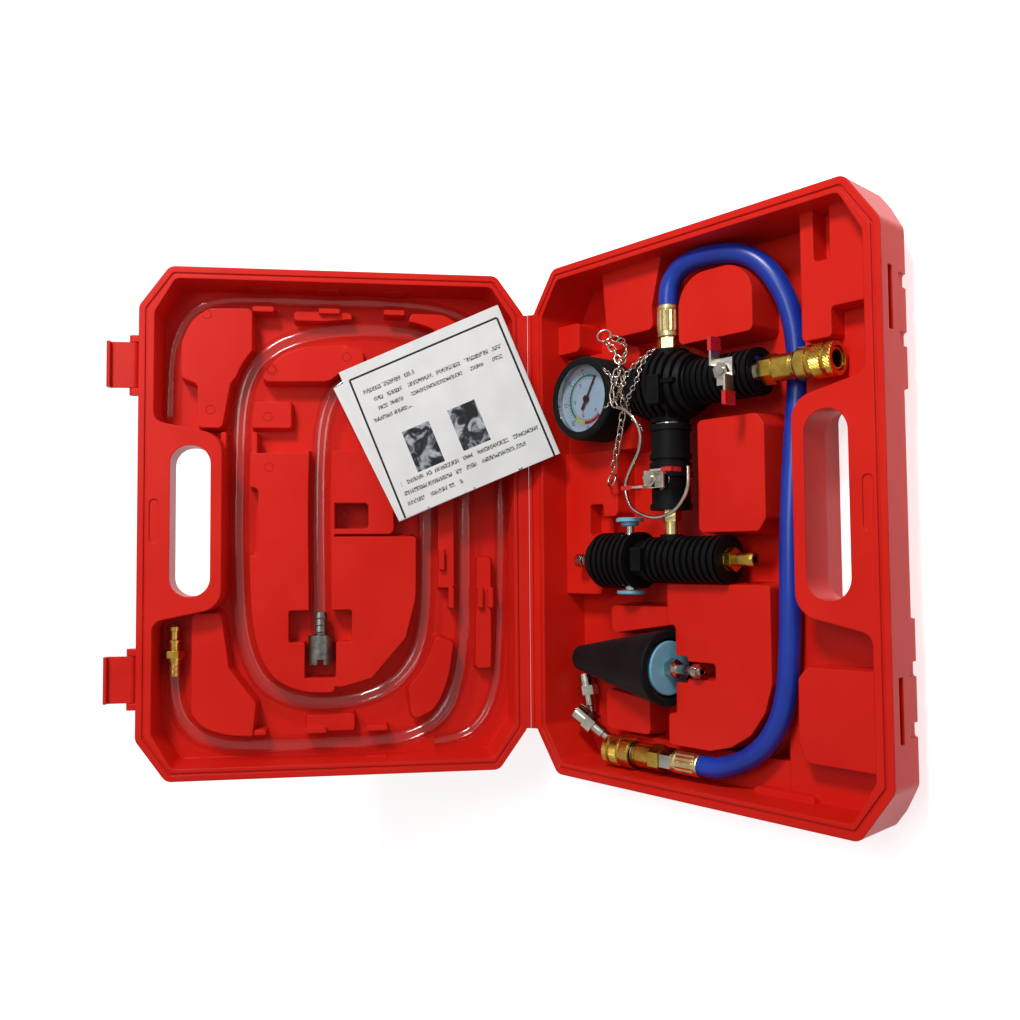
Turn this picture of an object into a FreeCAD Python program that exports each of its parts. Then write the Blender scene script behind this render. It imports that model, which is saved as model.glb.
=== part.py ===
import FreeCAD, Part
import math
import os
import re
from types import SimpleNamespace

import Sketcher

# Coolant vacuum refill kit: a blow-moulded carrying case, open, with its tools.
# Millimetres. +Z is up, +X runs along the case, -Y is the handle side and +Y the hinge side.
# The origin is the middle of the underside of the base half.

os.makedirs("parts", exist_ok=True)
doc = FreeCAD.newDocument("coolant_refill_kit")
V = FreeCAD.Vector
X, Y, Z = V(1, 0, 0), V(0, 1, 0), V(0, 0, 1)
nodes = {}

# Driving dimensions, one named cell each
sizes = {
    # case halves
    "caseLength": 380, "caseWidth": 288, "baseDepth": 48, "lidDepth": 36,
    "cornerAlong": 30.5, "cornerAcross": 21.8, "cornerRound": 8,
    "outerSkin": 2.4, "innerSkin": 2.2, "rimWidth": 9, "handleRimWidth": 11,
    "outerTaper": 1.7, "wallDraft": 2, "footChamfer": 8, "baseWedge": 20, "baseWedgeRun": 24,
    "lidWedge": 9, "lidWedgeRun": 11,
    "baseFloor": 6.6, "lidFloorDepth": 30, "shelfHeight": 20.5, "tallBlockTop": 34,
    "lidBlockDepth": 14, "lidPadDepth": 20, "sealInset": 4.6, "sealWidth": 1.5, "sealDepth": 1,
    # handle opening in both halves
    "handleHoleHalf": 56, "handleHoleWidth": 29, "handleBarWidth": 23, "gripThickness": 24,
    "islandHalfInner": 64, "islandHalfOuter": 74, "islandDepth": 60, "islandRound": 16,
    "gripSetBack": 5.6,
    "padHalf": 16, "padWidth": 6.5, "padInset": 8.5, "padDepth": 0.8,
    "ribGrooveNear": 94, "ribGrooveFar": 128, "ribGrooveWidth": 8, "ribGrooveDepth": 4,
    "ribGrooveDrop": 20,
    # hinge
    "rimGap": 0.3, "hingeOffset": 4.5, "hingeLip": 3.2, "hingeRod": 1.6, "hingeClear": 0.15,
    "lidLean": 57.1,
    # latches
    "latchAcross": 116, "latchWidth": 34, "latchPlate": 3, "latchReach": 16, "latchHook": 2.5,
    "latchHookDepth": 4.2, "latchPivotOut": 4.4, "latchPivotDrop": 8, "latchKnuckle": 3.6,
    "latchPin": 1.5, "latchLugWidth": 5, "latchGap": 0.3, "catchDepth": 4.8,
    # fits
    "runningGap": 0.05, "seatGap": 0.3,
    # vacuum unit
    "unitHeight": 33, "mainAlong": 87.5, "crossAcross": 21.6, "gaugeAcross": 92.6,
    "barrelHalf": 26, "barrelEnd": 18, "barrelBulge": 8, "barrelFins": 9, "finDepth": 3,
    "coreRadius": 10.5, "coreHalf": 24, "coverGap": 0.2, "portBore": 3.5, "spigot": 6,
    "spigotDepth": 8, "sleeveRibDepth": 1.8, "valveLength": 49.6, "valveSleeve": 15.5,
    "valveBody": 10.5, "valveStemAt": 60, "ballRadius": 7.6, "valveStem": 3, "stemWindow": 7.5,
    "splitGap": 0.1, "handleRise": 17, "handlePlate": 1.5, "wingLength": 18, "wingHeight": 9,
    "wingSpan": 43, "wingSide": 6, "gripLength": 8, "gripSkin": 0.7, "handleNut": 10,
    "handleNutHeight": 4.5, "stemTip": 1, "lowerValveAt": 64.5, "lowerSleeve": 14.5,
    "lowerSleeveLength": 58.5, "nippleHex": 12, "nippleHexLength": 9, "venturiAlong": -31.7,
    "venturiBig": 20, "venturiSmall": 16, "venturiNeck": 13.5, "venturiTop": 90.4,
    "venturiBigEnd": 48.5, "venturiSmallTop": 38.5, "venturiBottom": -26.3, "venturiCore": 9.5,
    "spoolAcross": 60, "spoolRadius": 4.5, "spoolTravel": 6, "knobRadius": 10, "knobDisc": 2.8,
    "knobNeck": 6.2, "neckStop": 2.8, "airNippleTip": 113.5, "tailTip": -46.3, "tailBore": 2.6, "tailHex": 14,
    # gauge
    "bootRadius": 31, "bootBottom": 21, "bootTop": 49.4, "bootLip": 2.2,
    "bootRibs": 9, "bootRibDepth": 1.4, "gaugeRadius": 27, "gaugeSkin": 0.8, "dialHeight": 41.5,
    "dialThickness": 0.6, "lensThickness": 1.8, "stemHex": 14, "stemHexLength": 8,
    "stemRadius": 6, "stemReach": 8, "needleReach": 19, "needleWidth": 1.1, "needleThickness": 0.4,
    "arborRadius": 0.8, "tubeRing": 17, "tubeRadius": 2, "movementPlate": 1.2,
    # hose and couplers
    "hoseRadius": 7, "hoseBore": 4, "ferruleRadius": 8, "ferruleLength": 22, "portNutHex": 14,
    "portNutLength": 7, "couplerHex": 17, "couplerHexLength": 9, "couplerCollar": 8.5,
    "couplerCollarLength": 13.5, "couplerTravel": 4, "sleeveRadius": 10.85, "sleeveLength": 25,
    "couplerBarrel": 7.6, "couplerBore": 5.6, "springWire": 0.3, "springTurns": 5,
    "lowerCouplerInset": 12.5, "lowerCouplerStart": 0.6, "lowerHoseHeight": 31,
    # lid hoses
    "smallHose": 5, "smallHoseBore": 3.5, "largeHose": 7.5, "largeHoseBore": 5.25,
    "hoseChannelGap": 1.3, "barbGrip": 12, "cupRadius": 9.5, "cupDepth": 22,
    # cone and adapters
    "coneAlong": -105.5, "coneTip": 119, "coneFoot": 24.5, "coneTipRadius": 9.5,
    "coneFootRadius": 26.5, "coneTipHeight": 25, "coneFootHeight": 34, "coneHollow": 4.5,
    "discRadius": 18.5, "discThickness": 3.5, "conePlug": 3.3, "conePlugHead": 4.8,
    "adapterHex": 14, "adapterTube": 4.6, "adapterBore": 2.4,
    # chain and hook
    "chainWire": 0.6, "linkHalfLength": 3.4, "linkHalfWidth": 2.2, "linkGap": 0.4,
    "ringRadius": 5, "hookWire": 1.25,
    # leaflet
    "leafLong": 118, "leafWide": 117, "paper": 0.3, "leafSpread": 0.8, "leafTilt": 11.5, "leafDip": 1.6,
}

sheet = doc.addObject("Spreadsheet::Sheet", "dims")
for row, (word, value) in enumerate(sizes.items(), start=1):
    sheet.set(f"A{row}", word)
    sheet.set(f"B{row}", str(value))
    sheet.setAlias(f"B{row}", word)
doc.recompute()
d = SimpleNamespace(**{word: float(sheet.get(word)) for word in sizes})


def bound(text):
    """Turn the size names in an expression into references to the sheet."""
    return re.sub(r"[A-Za-z]+", lambda m: f"dims.{m[0]}" if m[0] in sizes else m[0], str(text))


def place(at, axis=Z, turn=0.0):
    spin = FreeCAD.Rotation(Z, turn)
    return FreeCAD.Placement(V(*at), FreeCAD.Rotation(Z, axis).multiply(spin))


def keep(name, piece):
    piece.Label = name
    nodes[name] = piece
    return piece


def feature(name, shape):
    piece = doc.addObject("Part::Feature", name)
    piece.Shape = shape
    return piece


def turned(name, profile, at, axis):
    """A turned body: its profile is a closed list of (radius, height) expressions."""
    body = doc.addObject("PartDesign::Body", name)
    sketch = body.newObject("Sketcher::SketchObject", name + "_profile")
    plane = next(f for f in body.Origin.OriginFeatures if f.Role == "XZ_Plane")
    sketch.AttachmentSupport = [(plane, "")]
    sketch.MapMode = "FlatFace"
    count = len(profile)
    for i in range(count):
        j = (i + 1) % count
        start = V(1 + 0.7 * i, 1.1 * i, 0)
        end = V(1 + 0.7 * j, 1.1 * j, 0)
        sketch.addGeometry(Part.LineSegment(start, end), False)
    for i in range(count):
        sketch.addConstraint(Sketcher.Constraint("Coincident", i, 2, (i + 1) % count, 1))
    for i, (radius, height) in enumerate(profile):
        for kind, axis_line, text in (("DistanceX", -2, radius), ("DistanceY", -1, height)):
            if str(text) == "0":
                sketch.addConstraint(Sketcher.Constraint("PointOnObject", i, 1, axis_line))
            else:
                number = sketch.addConstraint(Sketcher.Constraint(kind, -1, 1, i, 1, 1.0))
                sketch.setExpression(f"Constraints[{number}]", bound(text))
    spin = body.newObject("PartDesign::Revolution", name + "_spin")
    spin.Profile = sketch
    spin.ReferenceAxis = (sketch, ["V_Axis"])
    spin.Angle = 360
    body.Placement = place(at, axis)
    return body


def rod(name, radius, length, at, axis):
    piece = doc.addObject("Part::Cylinder", name)
    piece.setExpression("Radius", bound(radius))
    piece.setExpression("Height", bound(length))
    piece.Placement = place(at, axis)
    return piece


def hexagon(name, flats, length, at, axis, turn=0.0):
    piece = doc.addObject("Part::Prism", name)
    piece.Polygon = 6
    piece.setExpression("Circumradius", bound(f"({flats}) / sqrt(3)"))
    piece.setExpression("Height", bound(length))
    piece.Placement = place(at, axis, turn)
    return piece


def block(name, length, width, height, at, axis=Z, turn=0.0):
    piece = doc.addObject("Part::Box", name)
    for side, text in (("Length", length), ("Width", width), ("Height", height)):
        piece.setExpression(side, bound(text))
    piece.Placement = place(at, axis, turn)
    return piece


def joined(name, pieces):
    fuse = doc.addObject("Part::MultiFuse", name)
    fuse.Shapes = pieces
    return fuse


def carved(name, base, tool):
    cut = doc.addObject("Part::Cut", name)
    cut.Base = base
    cut.Tool = tool
    return cut


# Rounded outlines, drafted blocks and the double-walled case halves

def grown_corners(corners, grow):
    """Shift every edge of a closed outline outwards by grow; corners are (x, y, radius)."""
    area = 0
    count = len(corners)
    for i in range(count):
        x0, y0 = corners[i][0], corners[i][1]
        x1, y1 = corners[(i + 1) % count][0], corners[(i + 1) % count][1]
        area += x0 * y1 - x1 * y0
    loop = list(corners) if area > 0 else list(reversed(corners))
    out = []
    for i in range(count):
        before, here, after = loop[i - 1], loop[i], loop[(i + 1) % count]
        a = V(here[0] - before[0], here[1] - before[1], 0).normalize()
        b = V(after[0] - here[0], after[1] - here[1], 0).normalize()
        turn = a.x * b.y - a.y * b.x
        normal_a, normal_b = V(a.y, -a.x, 0), V(b.y, -b.x, 0)
        middle = (normal_a + normal_b)
        shift = middle * (2 * grow / middle.dot(middle))
        radius = here[2] + (grow if turn > 0 else -grow)
        out.append((V(here[0], here[1], 0) + shift, max(radius, 0.4)))
    return out


def outline(corners, grow, height):
    """A closed wire of straight runs and corner arcs, always with the same edges."""
    loop = grown_corners(corners, grow)
    count = len(loop)
    arcs = []
    for i in range(count):
        before, here, after = loop[i - 1][0], loop[i][0], loop[(i + 1) % count][0]
        a, b = here - before, after - here
        half = a.getAngle(b) / 2
        reach = min(loop[i][1] * math.tan(half), 0.48 * min(a.Length, b.Length))
        start = here - V(a).normalize() * reach
        end = here + V(b).normalize() * reach
        radius = reach / math.tan(half)
        inward = (V(b).normalize() - V(a).normalize()).normalize()
        middle = here + inward * (radius / math.cos(half) - radius)
        arcs.append([p + Z * height for p in (start, middle, end)])
    edges = []
    for i in range(count):
        edges.append(Part.Arc(*arcs[i]).toShape())
        edges.append(Part.LineSegment(arcs[i][2], arcs[(i + 1) % count][0]).toShape())
    return Part.Wire(edges)


def drafted(corners, levels):
    """A solid through the outline at each (height, grow) level."""
    wires = [outline(corners, grow, height) for height, grow in levels]
    return Part.makeLoft(wires, True, True)


def oblong(half_x, near, far, radius, middle=0.0):
    return [(middle - half_x, near, radius), (middle + half_x, near, radius),
            (middle + half_x, far, radius), (middle - half_x, far, radius)]


class Half:
    """One half of the case. Distances across run from its hinge edge, depths from its rim."""

    def __init__(self, rim, depth, hinge_edge, side, floor_depth, wedge_rise, wedge_run):
        self.rim = rim
        self.depth = depth
        self.hinge_edge = hinge_edge
        self.side = side
        self.floor_depth = floor_depth
        self.wedge_rise = wedge_rise
        self.wedge_run = wedge_run
        self.blocks = []
        self.cutters = []

    def across(self, distance):
        return self.hinge_edge + self.side * distance

    def flat(self, corners, radius=3.0):
        """Corners given as (x, distance from the hinge edge[, radius])."""
        return [(c[0], self.across(c[1]), c[2] if len(c) > 2 else radius) for c in corners]

    def outer_corners(self):
        half, wide = d.caseLength / 2, d.caseWidth
        along, cross, r = d.cornerAlong, d.cornerAcross, d.cornerRound
        loop = [(half - along, 0), (half, cross), (half, wide - cross), (half - along, wide)]
        loop += [(-x, y) for x, y in reversed(loop)]
        return self.flat([(x, y, r) for x, y in loop])

    def inner_corners(self):
        """The cavity at the rim, stepping round the handle opening."""
        half, wide, rim = d.caseLength / 2, d.caseWidth, d.rimWidth
        cut = rim * 0.45
        along, cross = d.cornerAlong + cut, d.cornerAcross + cut
        far = wide - d.handleRimWidth
        island = wide - d.islandDepth
        loop = [(half - along, rim, 6), (half - rim, cross, 6), (half - rim, wide - cross, 6),
                (half - along, far, 6), (d.islandHalfOuter, far, 8),
                (d.islandHalfInner, island, d.islandRound)]
        loop += [(-x, y, r) for x, y, r in reversed(loop)]
        return self.flat(loop)

    def level(self, depth):
        return self.rim - depth

    def outer(self, skin):
        """The outside form moved inwards by skin."""
        taper, chamfer = d.outerTaper, d.footChamfer
        foot = self.level(self.depth) + skin
        levels = [(foot, -taper - chamfer - skin), (foot + chamfer, -taper * 0.8 - skin),
                  (self.rim - skin, -skin)]
        body = drafted(self.outer_corners(), levels)
        return body.cut([self.wedge(skin), self.grip_hollow(skin), self.handle_hole(skin)]
                        + self.rib_grooves(skin) + [cutter(skin) for cutter in self.cutters])

    def wedge(self, skin):
        """The long bevel under the handle edge."""
        rise, run = self.wedge_rise, self.wedge_run
        slope = math.hypot(rise, run)
        inward = V(0, -self.side * rise / slope, run / slope) * skin
        low = V(0, self.across(d.caseWidth - run), self.level(self.depth)) + inward
        high = V(0, self.across(d.caseWidth), self.level(self.depth) + rise) + inward
        step = (high - low)
        low, high = low - step, high + step
        out = V(0, self.side * rise / slope, -run / slope) * 60
        start = V(-d.caseLength, 0, 0)
        face = Part.Face(Part.makePolygon([start + p for p in
                                           (low, high, high + out, low + out, low)]))
        return face.extrude(X * (2 * d.caseLength))

    def grip_hollow(self, skin):
        """The underside behind the handle bar, raised so that fingers close round it."""
        near = d.caseWidth - d.islandDepth + d.gripSetBack
        corners = self.flat([(-d.handleHoleHalf - 2, near), (d.handleHoleHalf + 2, near),
                             (d.handleHoleHalf + 12, d.caseWidth + 20),
                             (-d.handleHoleHalf - 12, d.caseWidth + 20)], 6)
        low = self.level(self.depth) - 2
        top = self.level(min(d.gripThickness, self.depth - 6)) + skin
        return drafted(corners, [(low, skin + 3), (top, skin)])

    def handle_hole(self, skin):
        far = d.caseWidth - d.handleBarWidth
        corners = self.flat(oblong(d.handleHoleHalf, far - d.handleHoleWidth, far,
                                   d.handleHoleWidth / 2 - 0.3))
        return drafted(corners, [(self.level(self.depth) - 2, skin), (self.rim + 2, skin)])

    def rib_grooves(self, skin):
        grooves = []
        for middle in (d.ribGrooveNear, d.ribGrooveFar):
            for sign in (-1, 1):
                corners = self.flat(oblong(d.ribGrooveWidth / 2, d.caseWidth - d.ribGrooveDepth,
                                           d.caseWidth + 10, 1.5, sign * middle))
                low = self.level(self.depth) - 2
                top = self.level(d.ribGrooveDrop) + skin
                grooves.append(drafted(corners, [(low, skin + 0.8), (top, skin)]))
        return grooves

    def cavity(self, skin):
        """The room for the tools, made larger by skin."""
        floor = self.level(self.floor_depth)
        slope = d.wallDraft / (self.rim - floor)
        levels = [(floor - skin, skin - d.wallDraft), (self.rim + 2, skin + 2 * slope)]
        room = drafted(self.inner_corners(), levels)
        raised = [block(skin) for block in self.blocks]
        return room.cut([solid for solid in raised if solid])

    def add_block(self, corners, top, radius=4.0, draft=None, slots=(), hollow=True):
        """A raised block on the floor; slots are cut out of it, and a small one is solid."""
        flat = self.flat(corners, radius)
        draft = d.wallDraft if draft is None else draft
        bed = self.level(self.floor_depth)

        def raised(skin):
            if skin and not hollow:
                return None
            solid = drafted(flat, [(bed - 3 - skin, draft - skin), (top - skin, -skin)])
            if slots:
                solid = solid.cut([slot(skin) for slot in slots])
            return solid

        self.blocks.append(raised)

    def seal_groove(self):
        line = self.outer_corners()
        inset, width = d.sealInset, d.sealWidth
        low, high = self.rim - d.sealDepth, self.rim + 1
        ring = drafted(line, [(low, -inset), (high, -inset)])
        return ring.cut(drafted(line, [(low - 1, -inset - width), (high + 1, -inset - width)]))

    def name_pad(self):
        """The plain oblong dent on the handle rim."""
        far = d.caseWidth - d.padInset
        corners = self.flat(oblong(d.padHalf, far - d.padWidth, far, d.padWidth / 2 - 0.2))
        return drafted(corners, [(self.rim - d.padDepth, 0), (self.rim + 1, 0)])

    def hinge_lip(self):
        """The strip of the rim that reaches towards the hinge line."""
        half = d.caseLength / 2 - d.cornerAlong
        reach = d.hingeOffset - d.hingeRod - d.hingeClear
        edge = self.across(1.0)
        end = self.across(-reach)
        strip = Part.makeBox(2 * half, abs(end - edge), d.hingeLip)
        strip.translate(V(-half, min(edge, end), self.rim - d.hingeLip))
        return strip

    def shell(self, extras=()):
        """Two skins with air between them, open at the moulding hole."""
        outside = self.outer(0.0).fuse([self.hinge_lip()] + list(extras))
        air = self.outer(d.outerSkin).cut(self.cavity(d.innerSkin))
        return outside.cut([self.cavity(0.0), air, self.seal_groove(), self.name_pad()])


base = Half(d.baseDepth, d.baseDepth, d.caseWidth / 2, -1, d.baseDepth - d.baseFloor,
            d.baseWedge, d.baseWedgeRun)
lid = Half(0.0, d.lidDepth, 0.0, 1, d.lidFloorDepth, d.lidWedge, d.lidWedgeRun)

hinge = V(0, d.caseWidth / 2 + d.hingeOffset, d.baseDepth + d.rimGap / 2)
hinge_turn = FreeCAD.Placement(hinge, FreeCAD.Rotation(X, d.lidLean))
lid_frame = hinge_turn.multiply(FreeCAD.Placement(V(0, d.hingeOffset, -d.rimGap / 2),
                                                  FreeCAD.Rotation()))

# Walls that the blocks reach, with a little over so that they merge
side_wall = d.caseLength / 2 - d.rimWidth + 4
hinge_wall = d.rimWidth - 4
handle_wall = d.caseWidth - d.handleRimWidth + 4
middle = d.caseWidth / 2
main = d.mainAlong
clear = 1.5


def base_corners(corners):
    """Corners given with Y from the middle of the base, turned to distances from the hinge."""
    return [(c[0], middle - c[1]) + tuple(c[2:]) for c in corners]


def add_base(corners, top, **options):
    base.add_block(base_corners(corners), top, **options)


# Base: the hose goes round the outside of the tall blocks, the unit lies between them
tall, shelf = d.tallBlockTop, d.shelfHeight
wall_y = middle - hinge_wall
grip_y = middle - handle_wall
barrel_side = main + d.barrelHalf + clear
ferrule_side = d.ferruleRadius + clear
add_base([(side_wall, 84), (side_wall, 26), (165, 31), (146, 36),
          (main + 43, d.crossAcross + 13.4), (main + 43, 79)], tall)
dome_top = d.crossAcross - ferrule_side - 0.1
add_base([(barrel_side, dome_top), (161.5, dome_top, 26), (161.5, -48, 27), (barrel_side, -48)],
         tall)
block_side = main - d.barrelHalf
add_base([(-13.7, -2.5), (block_side, -2.5), (block_side, -49.5), (54, -55), (-6, -55),
          (-13.7, -49.5)], tall)
slot_half = d.conePlug + 2.4
hex_half = d.adapterHex / 2 + 2
cone = d.coneAlong
add_base([(-48, 26), (-76, 26), (-76, 19), (cone + hex_half, 19), (cone + hex_half, 9),
          (cone + slot_half, 9), (cone + slot_half, -14), (cone - slot_half, -14),
          (cone - slot_half, 9), (cone - hex_half, 9), (cone - hex_half, 19), (-136, 19),
          (-136, 26), (-157, 26), (-157, -8, 9), (-152.5, -25, 9),
          (-143, -40.5, 9), (-128, -51.5, 9), (-110, -57, 9), (-48, -57)], tall, radius=2.5)
add_base([(-64.5, 27), (-76.5, 27), (-85, 84), (-64.5, 84)], 28)
add_base([(-154, grip_y), (-154, -80.3), (-141.8, -75.4), (-104, -76), (-96.8, -81.8),
          (-96, grip_y)], tall)
add_base([(main + 13.5, -84), (side_wall, -84), (side_wall, -93), (148, -93), (148, -104),
          (side_wall, -104), (side_wall, grip_y), (119, grip_y), (119, -104),
          (main + 13.5, -104)], tall, radius=2.5)
add_base([(128, 112), (150, 112), (150, wall_y), (128, wall_y)], 30)
add_base([(50, 60), (125, 60), (125, wall_y), (50, wall_y)], d.bootBottom - d.seatGap - 0.1)
add_base([(-57, wall_y), (-57, 97), (1, 97), (1, 80), (50.5, 80), (50.5, wall_y)], 24,
         slots=[lambda skin: drafted(base.flat(base_corners(
             [(-13, 95, 2), (10, 95, 2), (10, 108, 2), (-13, 108, 2)])),
             [(12 - skin, skin), (40, skin + 1)])])
add_base([(-155, 50), (-130, 50), (-126, 92), (-155, 92)], 26)
add_base([(-side_wall, -36), (-166 - 10, -36), (-166 - 10, -80), (-side_wall, -80)], 26)
cradle = d.unitHeight - d.venturiBig - d.seatGap
add_base([(-48, 50), (-16, 50), (-16, 88), (-48, 88)], cradle)
add_base([(-side_wall, 80), (-158, 80), (-158, -70), (-side_wall, -70)], shelf - 0.5, draft=1)
add_base([(side_wall, -77.5), (side_wall, grip_y), (-side_wall, grip_y), (-side_wall, -77.5)],
         shelf, draft=1)


def ramp(skin):
    """The floor of the hose channel, sloping down towards the coupler."""
    low, high = d.baseFloor - 3 - skin, shelf - skin
    profile = [V(-side_wall, 0, low), V(78, 0, low), V(78, 0, d.baseFloor + 0.8 - skin),
               V(-40, 0, high), V(-side_wall, 0, high)]
    side = Part.Face(Part.makePolygon([p - Y * (84 - skin) for p in profile + profile[:1]]))
    return side.extrude(Y * (24 - 2 * skin))


base.blocks.append(ramp)


def catch(sign):
    """The recess in the handle side that a latch hook snaps into."""
    def cutter(skin):
        depth = d.latchReach - d.latchPivotDrop - d.latchGap
        half = d.latchWidth / 2 + 1.5
        corners = base.flat(oblong(half, d.caseWidth - d.catchDepth, d.caseWidth + 8, 1.0,
                                   sign * d.latchAcross))
        top = base.level(depth - 0.4)
        return drafted(corners, [(top - d.latchHook - 2.4 - skin, skin), (top + skin, skin)])
    return cutter


base.cutters = [catch(1), catch(-1)]
mold_hole = Part.makeCylinder(1.8, 9, V(-73, 50, d.baseFloor - 8.5), Z)
base_shell = keep("base_shell", feature("base_shell", base.shell().cut(mold_hole)))

# Lid: platforms with channels cut along the two clear hoses
lid_bed = -d.lidFloorDepth
platform, pad = -d.lidBlockDepth, -d.lidPadDepth
small_bed = lid_bed + d.smallHose + d.seatGap
large_bed = lid_bed + d.largeHose + d.seatGap
plug_across = d.caseWidth - 23
strainer_across = 156.5
small_route = [(80, 270), (106, 270), (134, 268), (159, 257), (171.5, 236), (172.5, 200),
               (171.8, 150), (172.3, 100), (169, 62), (157, 34), (130, 20), (95, 17.2),
               (50, 16.8), (0, 16.2), (-50, 16.6), (-95, 17.5), (-128, 20.5), (-154, 30),
               (-169, 47), (-171.5, 70)]
large_route = [(-104, plug_across), (-126, plug_across), (-147, 260), (-162, 247),
               (-169, 226), (-170.5, 198), (-170.2, 150), (-169.6, 109), (-164.5, 82),
               (-150, 62), (-126, 51), (-95, 46), (-50, 44.8), (0, 44.4), (50, 44.9),
               (95, 46.5), (124, 54), (142, 70), (149, 95), (150, 128), (146, 164), (135, 193),
               (115, 209.5), (90, 216.5), (50, 217.8), (0, 218.2), (-45, 217.6), (-80, 215.5),
               (-108, 208.5), (-128, 195), (-138.5, 171), (-139, 138), (-132, 110), (-116, 90),
               (-93, 78.5), (-59, 75.2), (-4, 75), (38, 76.5), (72, 80.5), (98, 91),
               (111.5, 111), (111, 132), (99, 148), (74, 155.5), (40, 156.8), (-2, 157.2),
               (-46, strainer_across), (-86, strainer_across)]
strainer_rise = d.cupRadius - d.largeHose + 0.4


def route_wire(points):
    """Straight runs joined by tangent arcs, each as large as its two runs allow."""
    edges, radii = [], []
    start = points[0]
    for before, here, after in zip(points, points[1:], points[2:]):
        a, b = here - before, after - here
        half = a.getAngle(b) / 2
        reach = 0.45 * min(a.Length, b.Length)
        radius = reach / math.tan(half)
        one = here - V(a).normalize() * reach
        two = here + V(b).normalize() * reach
        inward = (V(b).normalize() - V(a).normalize()).normalize()
        mid = here + inward * (radius / math.cos(half) - radius)
        edges.append(Part.LineSegment(start, one).toShape())
        edges.append(Part.Arc(one, mid, two).toShape())
        radii.append(radius)
        start = two
    edges.append(Part.LineSegment(start, points[-1]).toShape())
    return Part.Wire(edges), radii


def tube(name, points, radius, bore):
    wire, radii = route_wire(points)
    heading = points[1] - points[0]
    rings = []
    for size in (radius, bore):
        circle = Part.Wire(Part.makeCircle(size, points[0], heading))
        rings.append(wire.makePipeShell([circle], True, True))
    solid = rings[0].cut(rings[1])
    section = math.pi * (radius ** 2 - bore ** 2)
    print(f"{name}: length {wire.Length:.0f} mm, volume / section x length "
          f"{solid.Volume / (section * wire.Length):.4f}, tightest radius {min(radii):.1f}, "
          f"radii {[round(r) for r in radii]}")
    return solid


def channel(route, half_width):
    """The room that a hose channel takes out of the platforms."""
    wire, _ = route_wire([V(x, y, 0) for x, y in route])
    heading = V(route[1][0] - route[0][0], route[1][1] - route[0][1], 0).normalize()
    side = heading.cross(Z)
    start = V(route[0][0], route[0][1], 0)
    low, high = lid_bed - 8, 12

    def room(skin):
        wide = half_width + skin
        p = [start + side * wide + Z * low, start - side * wide + Z * low,
             start - side * wide + Z * high, start + side * wide + Z * high]
        return wire.makePipeShell([Part.makePolygon(p + p[:1])], True, True)
    return room


small_channel = channel(small_route, d.smallHose + d.hoseChannelGap)
large_channel = channel(large_route, d.largeHose + d.hoseChannelGap)
both = (small_channel, large_channel)


def pocket(corners, radius=3.0, low=lid_bed - 8):
    flat = lid.flat(corners, radius)
    return lambda skin: drafted(flat, [(low, skin - 0.5), (12, skin + 1)])


strainer_slot = pocket([(-68, 180), (-68, 133), (-92, 133), (-92, 145), (-119, 145),
                        (-119, 168), (-92, 168), (-92, 180)], 1.5)
leaf_step = 139.3
platforms = [
    [(162, 254), (163, 208), (125, 208), (105, 224), (71, 230), (71, 248), (104, 248),
     (109, 260), (135, 260)],
    [(-69, 251), (-160, 251), (-164, 207), (-137, 204), (-110, 224), (-69, 230)],
    [(52, 213), (26, 213), (26, 203), (-26, 203), (-26, 213), (-87, 212), (-113, 201),
     (-129, 178), (-131, 146), (52, 146)],
    [(-12, 168), (-12, 83), (-51, 82), (-90, 92), (-120, 118), (-126, 140), (-126, 168)],
    [(54, 168), (54, 101), (-10, 101), (-10, 168)],
    [(137, leaf_step), (132, 124), (118, 124), (112.7, leaf_step)],
    [(162, 88), (162, 62), (149, 40), (138, 58), (147, 72), (152, 88)],
    [(-89, 68), (-95, 54), (-127, 58), (-146, 72), (-153, 87), (-129, 90), (-107, 76)],
]
for corners in platforms:
    slots = list(both) + [strainer_slot]
    if corners[0] == (54, 168):
        slots.append(pocket([(-6, 120), (14, 120), (14, 150), (-6, 150)], 3, pad - 4))
    lid.add_block(corners, platform, radius=4, slots=slots)

# Lower than the rest, because the leaflet's corner passes over it as the lid closes
lid.add_block([(121, 201), (134, 174), (137, 138), (132, 124), (118, 124), (108, 153), (107, 199)],
              platform - d.leafDip, radius=4, slots=both)
pads = [
    [(163, 177), (163, 133), (156, 133), (156, 177)], [(-147, 167), (-147, 131), (-160, 131),
                                                       (-160, 167)],
    [(18, 67), (18, 54), (-52, 54), (-52, 67)], [(-29, 37), (-29, 25), (-115, 25), (-115, 37)],
    [(92, 210), (92, 179), (72, 179), (72, 210)],
]
for corners in pads:
    lid.add_block(corners, pad, radius=2.5, slots=both)

# Small clips in pairs beside the channels: place along the run, its line, upright run or not
small_clips = [(150, 172, True), (100, 172.1, True), (200, 172.3, True), (60, 16.9, False),
               (-60, 16.8, False)]
large_clips = [(60, 217.6, False), (-40, 217.7, False), (30, 75.8, False), (-30, 75.1, False),
               (-50, 157, False), (160, -170.2, True), (114, -169.7, True), (205, -170.4, True),
               (60, 45.1, False), (-60, 45, False)]
for radius, clips in ((d.smallHose, small_clips), (d.largeHose, large_clips)):
    for where, line, upright in clips:
        for sign in (-1, 1):
            off = line + sign * (radius + d.hoseChannelGap + 2.6)
            low_end, high_end = where - 8, where + 8
            if upright:
                corners = [(off - 2, low_end), (off + 2, low_end), (off + 2, high_end),
                           (off - 2, high_end)]
            else:
                corners = [(low_end, off - 2), (high_end, off - 2), (high_end, off + 2),
                           (low_end, off + 2)]
            lid.add_block(corners, platform - 2, radius=1, draft=0.6, hollow=False)

pivot_across = d.caseWidth + d.latchPivotOut
pivot_depth = -d.latchPivotDrop


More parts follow.
